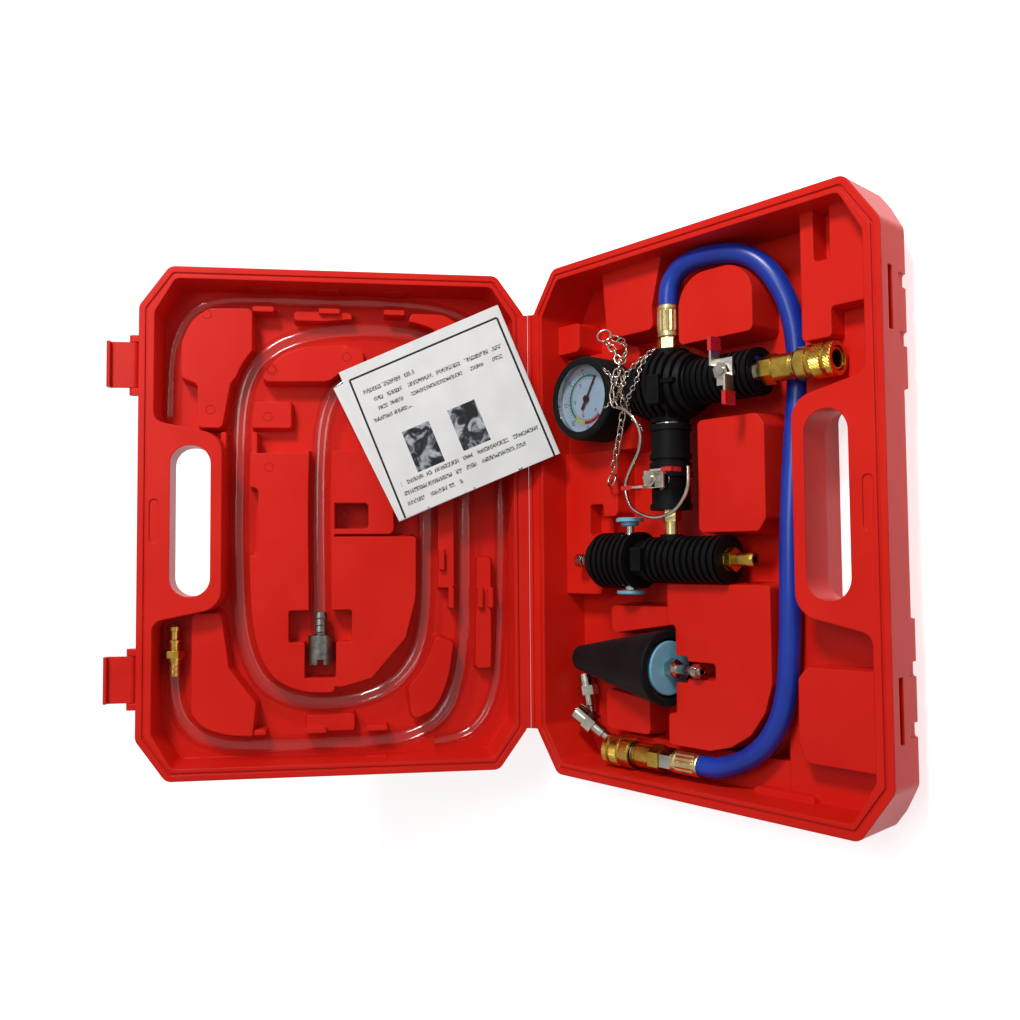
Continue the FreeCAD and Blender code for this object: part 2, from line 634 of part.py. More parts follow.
def latch_lugs(sign):
    """Two ears on the lid that carry one latch pin."""
    lugs = []
    for end in (-1, 1):
        inner = sign * d.latchAcross + end * (d.latchWidth / 2 + d.latchGap)
        ear = Part.makeCylinder(d.latchKnuckle, d.latchLugWidth,
                                V(inner, pivot_across, pivot_depth), X * end)
        root = Part.makeBox(d.latchLugWidth, d.latchPivotOut + 2, 2 * d.latchKnuckle)
        root.translate(V(min(inner, inner + end * d.latchLugWidth), d.caseWidth - 2,
                         pivot_depth - d.latchKnuckle))
        lugs.append(ear.fuse(root))
    return lugs


def pin_hole(sign):
    length = d.latchWidth + 2 * d.latchLugWidth + 2
    return Part.makeCylinder(d.latchPin + 0.02, length,
                             V(sign * d.latchAcross - length / 2, pivot_across, pivot_depth), X)


lugs = latch_lugs(1) + latch_lugs(-1)
lid_solid = lid.shell(lugs).cut([pin_hole(1), pin_hole(-1)])
lid_solid = lid_solid.cut(Part.makeCylinder(1.8, 9, V(60, 240, lid_bed - 7), Z))
lid_shell = keep("lid_shell", feature("lid_shell", lid_solid))
lid_shell.Placement = lid_frame

rod_half = d.caseLength / 2 - d.cornerAlong
strip = rod("living_hinge", "hingeRod", "caseLength - 2 * cornerAlong",
            hinge - X * rod_half, X)
keep("living_hinge", strip)


def latch(name, sign):
    """A snap latch, drawn shut and then swung open by a right angle."""
    inside = -d.latchKnuckle
    end = d.latchReach + d.latchHook
    hook = inside - d.latchHookDepth
    profile = [(inside, 0), (inside, d.latchReach), (hook, d.latchReach),
               (hook, d.latchReach + 1.2), (hook + 1.2, end), (inside + d.latchPlate, end),
               (inside + d.latchPlate, 6), (0, 0)]
    points = [V(0, y, z) for y, z in profile]
    plate = Part.Face(Part.makePolygon(points + points[:1])).extrude(X * d.latchWidth)
    knuckle = Part.makeCylinder(d.latchKnuckle, d.latchWidth, V(0, 0, 0), X)
    ribs = Part.makeBox(d.latchWidth, 1.2, 3.0)
    ribs.translate(V(0, inside + d.latchPlate - 0.4, end - 4.5))
    solid = plate.fuse([knuckle, ribs])
    solid = solid.cut(Part.makeCylinder(d.latchPin + d.runningGap, d.latchWidth + 2,
                                        V(-1, 0, 0), X))
    piece = keep(name, feature(name, solid.removeSplitter()))
    swing = FreeCAD.Placement(V(sign * d.latchAcross - d.latchWidth / 2, pivot_across,
                                pivot_depth), FreeCAD.Rotation(X, -90))
    piece.Placement = lid_frame.multiply(swing)


latch("latch_upper", 1)
latch("latch_lower", -1)
pins = []
for sign in (1, -1):
    length = d.latchWidth + 2 * d.latchLugWidth
    pins.append(Part.makeCylinder(d.latchPin, length,
                                  V(sign * d.latchAcross - length / 2, pivot_across, pivot_depth),
                                  X))
keep("latch_pins", feature("latch_pins", Part.makeCompound(pins))).Placement = lid_frame

small_points = [V(x, y, small_bed) for x, y in small_route]
large_points = [V(x, y, large_bed) for x, y in large_route]
for point, share in zip(large_points[-4:], (0, 0.4, 1, 1)):
    point.z += strainer_rise * share
small_tube = feature("clear_hose_small", tube("clear_hose_small", small_points, d.smallHose,
                                              d.smallHoseBore))
keep("clear_hose_small", small_tube).Placement = lid_frame
large_tube = feature("clear_hose_large", tube("clear_hose_large", large_points, d.largeHose,
                                              d.largeHoseBore))
keep("clear_hose_large", large_tube).Placement = lid_frame


# Lid contents: a brass plug fitting, and a strainer on a barb

def barb_points(bore, start, length, count):
    """Outline of a barb that just fills a hose bore, from its shoulder to its tip."""
    pitch = f"({length}) / {count}"
    points = []
    for i in range(count):
        points.append((f"{bore} - runningGap", f"{start} + ({pitch}) * {i} + 0.8"))
        points.append((f"{bore} - 0.9", f"{start} + ({pitch}) * {i + 1}"))
    return points


def on_lid(piece, x, across, height, direction):
    """Place a piece made along Z at a spot of the lid."""
    piece.Placement = lid_frame.multiply(place((x, across, height), direction))
    return piece


plug_profile = [("adapterBore", "-barbGrip")]
for radius, height in reversed(barb_points("largeHoseBore", "0", "barbGrip", 3)):
    plug_profile.append((radius, f"-({height})"))
plug_profile += [("largeHoseBore - runningGap", "0"), ("6.2", "0"), ("6.2", "2.5"),
                 ("4.6", "2.5"), ("4.6", "13"), ("5.6", "13"), ("5.6", "15"), ("3.9", "15.6"),
                 ("3.9", "21.5"), ("5.2", "22"), ("5.2", "25"), ("4.4", "26"),
                 ("adapterBore", "26")]
plug_body = turned("plug_turned", plug_profile, (0, 0, 0), Z)
plug_hex = hexagon("plug_hex", "adapterHex", "5", (0, 0, 2), Z, 30)
plug_bore = rod("plug_bore", "adapterBore", "9", (0, 0, 0), Z)
plug = keep("plug_fitting", joined("plug_joined", [plug_body, carved("plug_nut", plug_hex,
                                                                     plug_bore)]))
on_lid(plug, large_route[0][0], plug_across, large_bed, X)

strainer_profile = [("adapterBore", "0"), ("4.6", "0"), ("4.6", "2")]
strainer_profile += barb_points("largeHoseBore", "2", "15.5", 3)
strainer_profile += [("adapterBore", "17.5")]
strainer = turned("strainer_barb", strainer_profile, (0, 0, 0), Z)
strainer_bed = large_bed + strainer_rise
on_lid(keep("strainer_barb", strainer), large_route[-1][0] - 1.0, strainer_across, strainer_bed,
       X)
cup_profile = [("5.0", "0"), ("cupRadius", "0"), ("cupRadius", "-cupDepth"),
               ("cupRadius - 1.6", "-cupDepth"), ("cupRadius - 1.6", "-3"), ("5.0", "-3")]
cup_outer = turned("cup_turned", cup_profile, (0, 0, 0), Z)
slot_low = -d.cupDepth - 1
cup_slots = joined("cup_slots", [block("cup_slot_a", "30", "5", "5", (-15, -2.5, slot_low)),
                                 block("cup_slot_b", "5", "30", "5", (-2.5, -15, slot_low))])
cup_floor = turned("cup_floor", [("adapterBore", "-1.2"), ("cupRadius - 1.6", "-1.2"),
                                 ("cupRadius - 1.6", "-3"), ("adapterBore", "-3")], (0, 0, 0), Z)
cup = joined("cup_joined", [carved("cup_cut", cup_outer, cup_slots), cup_floor])
on_lid(keep("strainer_cup", cup), large_route[-1][0] - 1.0, strainer_across, strainer_bed, X)

# Vacuum unit: a barrel block with the gauge on one side, valves and hose on the others
unit_z = d.unitHeight
junction = V(main, d.crossAcross, unit_z)
toward_grip = V(0, -1, 0)
toward_left = V(-1, 0, 0)


def along_main(distance, rise=0.0):
    """A point on the main axis, counted from the junction towards the handle."""
    return junction + V(0, -distance, rise)


def along_branch(distance, rise=0.0):
    """A point on the branch axis, counted from the junction towards the venturi."""
    return junction + V(-distance, 0, rise)


core_arms = joined("core_arms", [
    rod("core_main", "coreRadius", "2 * coreHalf", along_main(-d.coreHalf), toward_grip),
    rod("core_cross", "coreRadius", "2 * coreHalf", along_branch(-d.coreHalf), toward_left)])
core_bores = joined("core_bores", [
    rod("core_bore_main", "portBore", "2 * coreHalf + 2", along_main(-d.coreHalf - 1),
        toward_grip),
    rod("core_bore_cross", "portBore", "2 * coreHalf + 2", along_branch(-d.coreHalf - 1),
        toward_left),
    rod("core_seat_gauge", "spigot + runningGap", "spigotDepth + 1", along_main(-d.coreHalf - 1),
        toward_grip),
    rod("core_seat_valve", "spigot + runningGap", "spigotDepth + 1", along_main(d.coreHalf + 1),
        Y),
    rod("core_seat_hose", "spigot + runningGap", "spigotDepth + 1", along_branch(-d.coreHalf - 1),
        toward_left),
    rod("core_seat_branch", "spigot + runningGap", "spigotDepth + 1",
        along_branch(d.coreHalf + 1), X)])
keep("manifold_core", carved("manifold_core", core_arms, core_bores))


def ball_valve(prefix, start, heading, length, stem_at, exit_length):
    """Body, ball with stem, butterfly handle, grips and nut; flow runs along heading."""
    far = start + heading * length
    profile = [("portBore", "-spigotDepth + 0.3"), ("spigot", "-spigotDepth + 0.3"),
               ("spigot", "0.3"), ("valveBody", "0.3"), ("valveBody", length),
               ("spigot", length), ("spigot", length + exit_length),
               ("portBore", length + exit_length)]
    body = turned(prefix + "_turned", profile, start, heading)
    seat = start + heading * stem_at
    boss = rod(prefix + "_boss", "valveStem + 2.4", "handleRise - 2.5", seat, Z)
    solid = joined(prefix + "_solid", [body, boss])
    ball_room = doc.addObject("Part::Sphere", prefix + "_ball_room")
    ball_room.setExpression("Radius", bound("ballRadius + runningGap"))
    ball_room.Placement = place(seat)
    way = rod(prefix + "_way", "portBore", length, start, heading)
    stem_room = rod(prefix + "_stem_room", "valveStem + runningGap", "handleRise + 9", seat, Z)
    rooms = joined(prefix + "_rooms", [ball_room, way, stem_room])
    keep(prefix + "_body", carved(prefix + "_carved", solid, rooms))

    ball = doc.addObject("Part::Sphere", prefix + "_sphere")
    ball.setExpression("Radius", "dims.ballRadius")
    ball.Placement = place(seat)
    stem = rod(prefix + "_stem", "valveStem",
               "handleRise + handlePlate + handleNutHeight + stemTip + runningGap", seat, Z)
    turned_ball = joined(prefix + "_ball_stem", [ball, stem])
    port = rod(prefix + "_port", "portBore", "2 * ballRadius + 4",
               seat - heading.cross(Z) * (d.ballRadius + 2), heading.cross(Z))
    keep(prefix + "_ball", carved(prefix + "_ball", turned_ball, port))

    # The handle stands across the flow while the valve is shut
    def local(name, x, y, z, size):
        piece = block(prefix + name, *size, (0, 0, 0))
        turn = FreeCAD.Rotation(X, heading.cross(Z))
        piece.Placement = FreeCAD.Placement(seat + turn.multVec(V(x, y, z)), turn)
        return piece

    span, wing, side = d.wingSpan / 2, d.wingLength, d.wingSide
    plate, rise = d.handlePlate, d.handleRise
    metal = [local("_plate", -span + wing - 5, -side, rise,
                   ("wingSpan - 2 * wingLength + 10", "2 * wingSide", "handlePlate"))]
    grips = []
    for sign in (-1, 1):
        x = span - wing if sign > 0 else -span
        y = side - plate if sign > 0 else -side
        metal.append(local(f"_wing{sign}", x, y, rise, ("wingLength", "handlePlate",
                                                        "wingHeight")))
        skin, grip, gap = d.gripSkin, d.gripLength, d.runningGap
        gx = span - grip if sign > 0 else -span - skin
        sleeve = local(f"_grip_skin{sign}", gx, y - skin, rise - skin,
                       ("gripLength + gripSkin", "handlePlate + 2 * gripSkin",
                        "wingHeight + 2 * gripSkin"))
        ix = span - grip - 1 if sign > 0 else -span - gap
        inside = local(f"_grip_room{sign}", ix, y - gap, rise - gap,
                       ("gripLength + 1 + runningGap", "handlePlate + 2 * runningGap",
                        "wingHeight + 2 * runningGap"))
        grips.append(carved(f"{prefix}_grip{sign}", sleeve, inside))
    hole = rod(prefix + "_handle_hole", "valveStem + runningGap", "handlePlate + 2",
               seat + Z * (rise - 1), Z)
    handle = carved(prefix + "_handle_cut", joined(prefix + "_metal", metal), hole)
    keep(prefix + "_handle", handle)
    pair = doc.addObject("Part::Compound", prefix + "_grips")
    pair.Links = grips
    keep(prefix + "_grips", pair)
    nut_at = seat + Z * (rise + plate + gap)
    nut = hexagon(prefix + "_nut_hex", "handleNut", "handleNutHeight", nut_at, Z, 15)
    nut_hole = rod(prefix + "_nut_hole", "valveStem + runningGap", "handleNutHeight + 2",
                   nut_at - Z, Z)
    keep(prefix + "_nut", carved(prefix + "_nut", nut, nut_hole))
    return far


ball_valve("valve_right", along_main(d.coreHalf), toward_grip, d.valveLength,
           d.valveStemAt - d.coreHalf, 4)
lower_length = d.lowerSleeveLength + 1.0
ball_valve("valve_lower", along_branch(d.coreHalf), toward_left, lower_length,
           d.lowerValveAt - d.coreHalf, 0.01)
valve_end = d.coreHalf + lower_length


def finned(spans, at, heading, turn=0):
    """A solid of revolution from (start, end, radius function, pitch, land, fin depth)."""
    points = [V(0, 0, spans[0][0])]
    for start, end, radius, pitch, land, fin in spans:
        count = max(1, int(round((end - start) / pitch)))
        step = (end - start) / count
        for i in range(count):
            a = start + i * step
            b = a + land * step
            c = a + step
            points += [V(radius(a), 0, a), V(radius(b), 0, b)]
            if land < 1:
                points += [V(radius(b) - fin, 0, b + 0.25), V(radius(c) - fin, 0, c - 0.25)]
        points += [V(radius(end), 0, end - 0.2), V(radius(end), 0, end)]
    points.append(V(0, 0, spans[-1][1]))
    clean = [points[0]]
    for point in points[1:]:
        if (point - clean[-1]).Length > 1e-6:
            clean.append(point)
    solid = Part.Face(Part.makePolygon(clean + clean[:1])).revolve(V(), Z, 360)
    solid.Placement = place(at, heading, turn)
    return solid


def barrel_radius(distance):
    share = (distance - d.barrelHalf) / d.barrelHalf
    return d.barrelEnd + d.barrelBulge * math.cos(math.pi / 2 * share)


def split_cover(name, solid, rooms):
    """Two moulded halves that meet at the height of the flow axis."""
    reach = 400
    gap = d.splitGap / 2
    top = Part.makeBox(2 * reach, 2 * reach, reach, V(-reach, -reach, unit_z + gap))
    low = Part.makeBox(2 * reach, 2 * reach, reach, V(-reach, -reach, unit_z - gap - reach))
    for half, box in (("top", top), ("bottom", low)):
        keep(f"{name}_{half}", feature(f"{name}_{half}", solid.common(box).cut(rooms)))


gap = d.coverGap
barrel_pitch = 2 * d.barrelHalf / d.barrelFins
sleeve_end = d.barrelHalf + d.valveLength - 0.4
spans = [(0, 2 * d.barrelHalf, barrel_radius, barrel_pitch, 0.5, d.finDepth),
         (2 * d.barrelHalf, d.barrelHalf + sleeve_end, lambda s: d.valveSleeve, 5.0, 0.55,
          d.sleeveRibDepth)]
cover = finned(spans, along_main(-d.barrelHalf), toward_grip)
spine = Part.makeBox(3, 2 * d.barrelHalf - 8, d.barrelEnd + d.barrelBulge * 0.72,
                     V(main - 1.5, d.crossAcross - d.barrelHalf + 4, unit_z))
label = Part.makeBox(20, 11, d.barrelEnd + d.barrelBulge * 0.62 + 0.6,
                     V(main - 10, d.crossAcross + 10, unit_z))
label = label.common(Part.makeCylinder(d.barrelEnd + d.barrelBulge * 0.62, 60,
                                       along_main(-40), toward_grip))
collar = Part.makeCylinder(d.coreRadius + 3, 2 * d.barrelHalf - 2, along_branch(-d.barrelHalf + 1),
                           toward_left)
cover = cover.fuse([spine, label, collar])
core_room = d.coreRadius + gap
valve_seat = along_main(d.valveStemAt)
rooms = [Part.makeCylinder(core_room, 2 * d.coreHalf + 0.6, along_main(-d.coreHalf - 0.3),
                           toward_grip),
         Part.makeCylinder(core_room, 2 * d.barrelHalf + 20, along_branch(-d.barrelHalf - 10),
                           toward_left),
         Part.makeCylinder(d.stemRadius + gap, 20, along_main(-d.coreHalf - 10), toward_grip),
         Part.makeCylinder(d.valveBody + gap, d.valveLength + 4, along_main(d.coreHalf),
                           toward_grip),
         Part.makeCylinder(d.stemWindow, 30, valve_seat, Z)]
split_cover("manifold_cover", cover, rooms)

lower_start = d.barrelHalf + 0.5
end_band, plain_band = 4, 16
plain_end = d.lowerSleeveLength - end_band
spans = [(0, end_band, lambda s: d.lowerSleeve, end_band, 1, 0),
         (end_band, end_band + plain_band, lambda s: d.lowerSleeve - 1.2, plain_band, 1, 0),
         (end_band + plain_band, plain_end - plain_band, lambda s: d.lowerSleeve, 6, 0.6, 1.4),
         (plain_end - plain_band, plain_end, lambda s: d.lowerSleeve - 1.2, plain_band, 1, 0),
         (plain_end, d.lowerSleeveLength, lambda s: d.lowerSleeve, end_band, 1, 0)]
cover = finned(spans, along_branch(lower_start), toward_left, 90)
lower_seat = along_branch(d.lowerValveAt)
rooms = [Part.makeCylinder(d.valveBody + gap, d.lowerSleeveLength + 4,
                           along_branch(lower_start - 2), toward_left),
         Part.makeCylinder(d.stemWindow, 30, lower_seat, Z)]
split_cover("valve_lower_cover", cover, rooms)

# Nipple between the lower valve and the venturi
venturi = d.venturiAlong
core_side = main - valve_end - 0.3
nipple_length = core_side - (venturi + d.venturiCore)
nipple = joined("nipple_joined", [
    rod("nipple_pipe", "5.2", nipple_length, along_branch(valve_end + 0.3), toward_left),
    hexagon("nipple_hex", "nippleHex", "nippleHexLength", along_branch(valve_end + 0.3),
            toward_left)])
nipple_bore = rod("nipple_bore", "portBore", nipple_length + 2, along_branch(valve_end - 0.7),
                  toward_left)
keep("branch_nipple", carved("branch_nipple", nipple, nipple_bore))

# Venturi: an air jet across the pump body, switched by a sliding spool
pump_x, pump_top, pump_low = venturi, d.venturiTop - 3, d.venturiBottom + 3
pump_length = pump_top - pump_low
pump_solid = joined("pump_solid", [
    rod("pump_rod", "venturiCore", pump_length, (pump_x, pump_low, unit_z), Y),
    rod("pump_spool_boss", "spoolRadius + 3.4", "2 * venturiBig - 4",
        (pump_x - d.venturiBig + 2, d.spoolAcross, unit_z), X)])
pump_rooms = joined("pump_rooms", [
    rod("pump_throat", "tailBore", pump_length + 2, (pump_x, pump_low - 1, unit_z), Y),
    rod("pump_air_seat", "spigot + runningGap", "9", (pump_x, pump_top - 8, unit_z), Y),
    rod("pump_tail_seat", "spigot + runningGap", "9", (pump_x, pump_low - 1, unit_z), Y),
    rod("pump_spool_way", "spoolRadius + runningGap", "2 * venturiBig + 8",
        (pump_x - d.venturiBig - 4, d.spoolAcross, unit_z), X),
    rod("pump_suction", "portBore", "venturiCore + 4", (pump_x, d.crossAcross, unit_z), X)])
keep("venturi_core", carved("venturi_core", pump_solid, pump_rooms))


def pump_radius(start_radius, end_radius, start, end):
    def radius(distance):
        share = (distance - start) / (end - start)
        return start_radius + (end_radius - start_radius) * share
    return radius


top, big_end = d.venturiTop, d.venturiBigEnd
small_top, bottom = d.venturiSmallTop, d.venturiBottom
s1, s2, s3 = top - big_end, top - small_top, top - bottom
spans = [(0, 6, pump_radius(d.venturiBig - 4, d.venturiBig, 0, 6), 6, 1, 0),
         (6, s1, lambda s: d.venturiBig, 5.2, 0.52, 2.6),
         (s1, s2, lambda s: d.venturiNeck, s2 - s1, 1, 0),
         (s2, s3, lambda s: d.venturiSmall, 5.4, 0.52, 2.4)]
cover = finned(spans, V(pump_x, top, unit_z), toward_grip)
pump_collar = Part.makeCylinder(8.2, d.venturiSmall + 1.5, V(pump_x, d.crossAcross, unit_z), X)
cover = cover.fuse([pump_collar])
rooms = [Part.makeCylinder(d.venturiCore + gap, pump_length + 0.6,
                           V(pump_x, pump_low - 0.3, unit_z), Y),
         Part.makeCylinder(d.spoolRadius + 3.4 + gap, 2 * d.venturiBig + 8,
                           V(pump_x - d.venturiBig - 4, d.spoolAcross, unit_z), X),
         Part.makeCylinder(d.spigot + 2 + gap, 12, V(pump_x, pump_top - 1, unit_z), Y),
         Part.makeCylinder(d.spigot + 2 + gap, 12, V(pump_x, pump_low + 1, unit_z), toward_grip),
         Part.makeCylinder(5.2 + gap, 30, V(pump_x, d.crossAcross, unit_z), X)]
split_cover("venturi_cover", cover, rooms)

spool_low = pump_x - d.venturiBig - 1.5
spool_high = pump_x + d.venturiBig + d.spoolTravel + 1.5
spool = turned("spool", [("0", "0"), ("spoolRadius - 1.5", "0"), ("spoolRadius - 1.5", "1"),
                         ("spoolRadius", "1"), ("spoolRadius", "17"),
                         ("spoolRadius - 1.4", "18"), ("spoolRadius - 1.4", "24"),
                         ("spoolRadius", "25"), ("spoolRadius", "2 * venturiBig + 1"),
                         ("spoolRadius - 1.5", "2 * venturiBig + 1"),
                         ("spoolRadius - 1.5", "2 * venturiBig + 4 + spoolTravel"),
                         ("0", "2 * venturiBig + 4 + spoolTravel")],
               (spool_low - 0.5, d.spoolAcross, unit_z), X)
keep("spool", spool)
knobs = []
for sign, at in ((-1, spool_low), (1, spool_high)):
    inner = "spoolRadius - 1.5 + runningGap"
    neck = "spoolTravel - neckStop" if sign > 0 else "0.4"
    knob = turned(f"spool_knob{sign}", [
        (inner, "-knobDisc + 0.6"), (inner, neck), ("knobNeck - 0.8", neck),
        ("knobNeck", f"{neck} - 0.5"), ("knobNeck", "0"), ("knobRadius", "0"),
        ("knobRadius", "-knobDisc + 0.8"), ("knobRadius - 1.2", "-knobDisc"),
        ("spoolRadius + 1", "-knobDisc"), ("spoolRadius", "-knobDisc + 0.6")],
        (at, d.spoolAcross, unit_z), X * -sign)
    knobs.append(knob)
knob_pair = doc.addObject("Part::Compound", "spool_knobs")
knob_pair.Links = knobs
keep("spool_knobs", knob_pair)

air = turned("air_nipple_turned", [
    ("tailBore", "-7.5"), ("spigot", "-7.5"), ("spigot", "0.4"), ("spigot + 1.6", "0.4"),
    ("spigot + 1.6", "3"), ("5", "3"), ("5", "6"), ("5.6", "8"), ("5.6", "12"), ("3.8", "13"),
    ("3.8", "17.5"), ("5.2", "18.5"), ("5.2", "airNippleTip - venturiTop + 1.5"),
    ("4.2", "airNippleTip - venturiTop + 3"), ("tailBore", "airNippleTip - venturiTop + 3")],
    (pump_x, pump_top, unit_z), Y)
keep("air_nipple", air)
tail_profile = [("tailBore", "-7.5"), ("spigot", "-7.5"), ("spigot", "0.4"),
                ("spigot + 1.6", "0.4"), ("spigot + 1.6", "3.2"), ("5", "3.2")]
tail_length = "venturiBottom - tailTip"
tail_profile += [("5", "7.6"), ("4.2", "7.6"), ("4.2", f"{tail_length} - 2"),
                 ("4.9", f"{tail_length} - 1.5"), ("4.9", f"{tail_length} + 1"),
                 ("4.3", f"{tail_length} + 3"), ("tailBore", f"{tail_length} + 3")]
tail = turned("tail_turned", tail_profile, (pump_x, pump_low, unit_z), toward_grip)
tail_hex = hexagon("tail_hex", "tailHex", "4.6", (pump_x, pump_low - 3.2, unit_z), toward_grip)
tail_hole = rod("tail_hex_hole", "4.6", "8", (pump_x, pump_low - 2, unit_z), toward_grip)
keep("tail_barb", joined("tail_barb", [tail, carved("tail_nut", tail_hex, tail_hole)]))

# Gauge: bourdon tube, movement, dial and needle in a steel case with a ribbed rubber boot
gauge = V(main, d.gaugeAcross, 0)
boot_height = d.bootTop - d.bootBottom
boot_profile = [("gaugeRadius - 6", "0"), ("bootRadius - 2", "0"), ("bootRadius", "1.5")]
for i in range(int(d.bootRibs)):
    low = f"1.5 + (bootTop - bootBottom - 5) / bootRibs * {i}"
    boot_profile += [("bootRadius", f"{low} + 1.6"), ("bootRadius - bootRibDepth", f"{low} + 1.8"),
                     ("bootRadius - bootRibDepth", f"{low} + 2.5")]
    if i < int(d.bootRibs) - 1:
        boot_profile.append(("bootRadius", f"{low} + 2.7"))
boot_profile += [("bootRadius", "bootTop - bootBottom - 3"),
                 ("bootRadius - 0.8", "bootTop - bootBottom - 0.8"),
                 ("bootRadius - 2.2", "bootTop - bootBottom"),
                 ("gaugeRadius - bootLip", "bootTop - bootBottom"),
                 ("gaugeRadius - bootLip", "bootTop - bootBottom - 1.2"),
                 ("gaugeRadius + runningGap", "bootTop - bootBottom - 1.2"),
                 ("gaugeRadius + runningGap", "2"), ("gaugeRadius - 6", "2")]
boot = turned("boot_turned", boot_profile, (gauge.x, gauge.y, d.bootBottom), Z)
stem_way = rod("boot_stem_way", "stemRadius + 0.4", "20", (gauge.x, gauge.y - 20, unit_z),
               toward_grip)
keep("gauge_boot", carved("gauge_boot", boot, stem_way))
case_low = d.bootBottom + 2.1
case_top = "bootTop - bootBottom - 3.4"
can = turned("can_turned", [("0", "0"), ("gaugeRadius", "0"), ("gaugeRadius", case_top),
                            ("gaugeRadius - gaugeSkin", case_top),
                            ("gaugeRadius - gaugeSkin", "gaugeSkin"), ("0", "gaugeSkin")],
             (gauge.x, gauge.y, case_low), Z)
can_way = rod("can_stem_way", "stemRadius - 1.5 + runningGap", "20",
              (gauge.x, gauge.y - 20, unit_z), toward_grip)
keep("gauge_case", carved("gauge_case", can, can_way))
inner_radius = "gaugeRadius - gaugeSkin - runningGap"
dial = turned("gauge_dial", [("arborRadius + 0.6", "0"), (inner_radius, "0"),
                             (inner_radius, "dialThickness"),
                             ("arborRadius + 0.6", "dialThickness")],
              (gauge.x, gauge.y, d.dialHeight), Z)
keep("gauge_dial", dial)
lens_low = case_low + (boot_height - 3.4) - d.lensThickness - 0.05
lens = turned("gauge_lens", [("0", "0"), (inner_radius, "0"), (inner_radius, "lensThickness"),
                             ("0", "lensThickness")], (gauge.x, gauge.y, lens_low), Z)
keep("gauge_lens", lens)

stem_start = d.crossAcross + d.coreHalf
stem_tip = gauge.y - stem_start - d.gaugeRadius + d.stemReach
stem = turned("gauge_stem_turned", [
    ("portBore - 1", "-spigotDepth + 0.4"), ("spigot", "-spigotDepth + 0.4"), ("spigot", "2.4"),
    ("stemRadius + 0.8", "2.4"), ("stemRadius + 0.8", "3.6"), ("stemRadius", "3.6"),
    ("stemRadius", stem_tip - 8.4), ("stemRadius - 1.5", stem_tip - 8.4),
    ("stemRadius - 1.5", stem_tip), ("portBore - 1", stem_tip)],
    (main, stem_start, unit_z), Y)
stem_hex = hexagon("gauge_stem_hex", "stemHex", "stemHexLength", (main, stem_start + 4.5, unit_z),
                   Y)
stem_hex_way = rod("gauge_stem_hex_way", "stemRadius - 0.5", "stemHexLength + 2",
                   (main, stem_start + 3.5, unit_z), Y)
keep("gauge_stem", joined("gauge_stem", [stem, carved("gauge_stem_nut", stem_hex,
                                                      stem_hex_way)]))

# The bourdon tube bends round from the stem and ends in a closed tip
ring = d.tubeRing
tube_height = unit_z + 4
start_angle, end_angle = math.radians(-62), math.radians(190)
arc_points = [V(ring * math.cos(a), ring * math.sin(a), 0) for a in
              (start_angle, (start_angle + end_angle) / 2, end_angle)]
arc = Part.Wire(Part.Arc(*arc_points).toShape())
heading = V(-math.sin(start_angle), math.cos(start_angle), 0)
tube_section = Part.Wire(Part.makeCircle(d.tubeRadius, arc_points[0], heading))
bourdon = arc.makePipeShell([tube_section], True, True)
foot_low = V(d.stemRadius - 4, d.stemReach - d.gaugeRadius, -6.5)
foot = Part.makeBox(arc_points[0].x + 2.5 - foot_low.x, arc_points[0].y + 2.5 - foot_low.y, 9,
                    foot_low)
bourdon = feature("bourdon_tube", bourdon.fuse(foot))
bourdon.Placement = FreeCAD.Placement(V(gauge.x, gauge.y, tube_height), FreeCAD.Rotation())
keep("bourdon_tube", bourdon)

plate_low, plate_high = unit_z - 1.0, d.dialHeight - 2.2
plates = joined("movement_plates", [
    block("movement_low", "22", "12", "movementPlate", (gauge.x - 11, gauge.y - 6, plate_low)),
    block("movement_high", "22", "12", "movementPlate", (gauge.x - 11, gauge.y - 6, plate_high)),
    rod("movement_post_a", "1.5", plate_high - plate_low, (gauge.x - 8, gauge.y, plate_low), Z),
    rod("movement_post_b", "1.5", plate_high - plate_low, (gauge.x + 8, gauge.y, plate_low), Z),
    rod("movement_foot_a", "1.5", plate_low - case_low - d.gaugeSkin - 0.02,
        (gauge.x - 8, gauge.y, case_low + d.gaugeSkin + 0.02), Z),
    rod("movement_foot_b", "1.5", plate_low - case_low - d.gaugeSkin - 0.02,
        (gauge.x + 8, gauge.y, case_low + d.gaugeSkin + 0.02), Z)])
arbor_way = rod("movement_arbor_way", "arborRadius + runningGap", "20",
                (gauge.x, gauge.y, plate_low - 1), Z)
keep("gauge_movement", carved("gauge_movement", plates, arbor_way))

needle_z = d.dialHeight + d.dialThickness + 0.9
arbor = rod("needle_arbor", "arborRadius", needle_z - plate_low + 0.4,
            (gauge.x, gauge.y, plate_low + 0.1), Z)
hub = rod("needle_hub", "2.6", "1.2", (gauge.x, gauge.y, needle_z - 0.2), Z)
blade = block("needle_blade", "needleReach", "needleWidth", "needleThickness", (0, 0, 0))
tail_blade = block("needle_tail", "9", "2 * needleWidth", "needleThickness", (0, 0, 0))
needle_turn = FreeCAD.Rotation(Z, -30)
blade.Placement = FreeCAD.Placement(gauge + needle_turn.multVec(V(0, -d.needleWidth / 2, 0))
                                    + Z * needle_z, needle_turn)
tail_blade.Placement = FreeCAD.Placement(
    gauge + needle_turn.multVec(V(-9, -d.needleWidth, 0)) + Z * needle_z, needle_turn)
keep("gauge_needle", joined("gauge_needle", [arbor, hub, blade, tail_blade]))

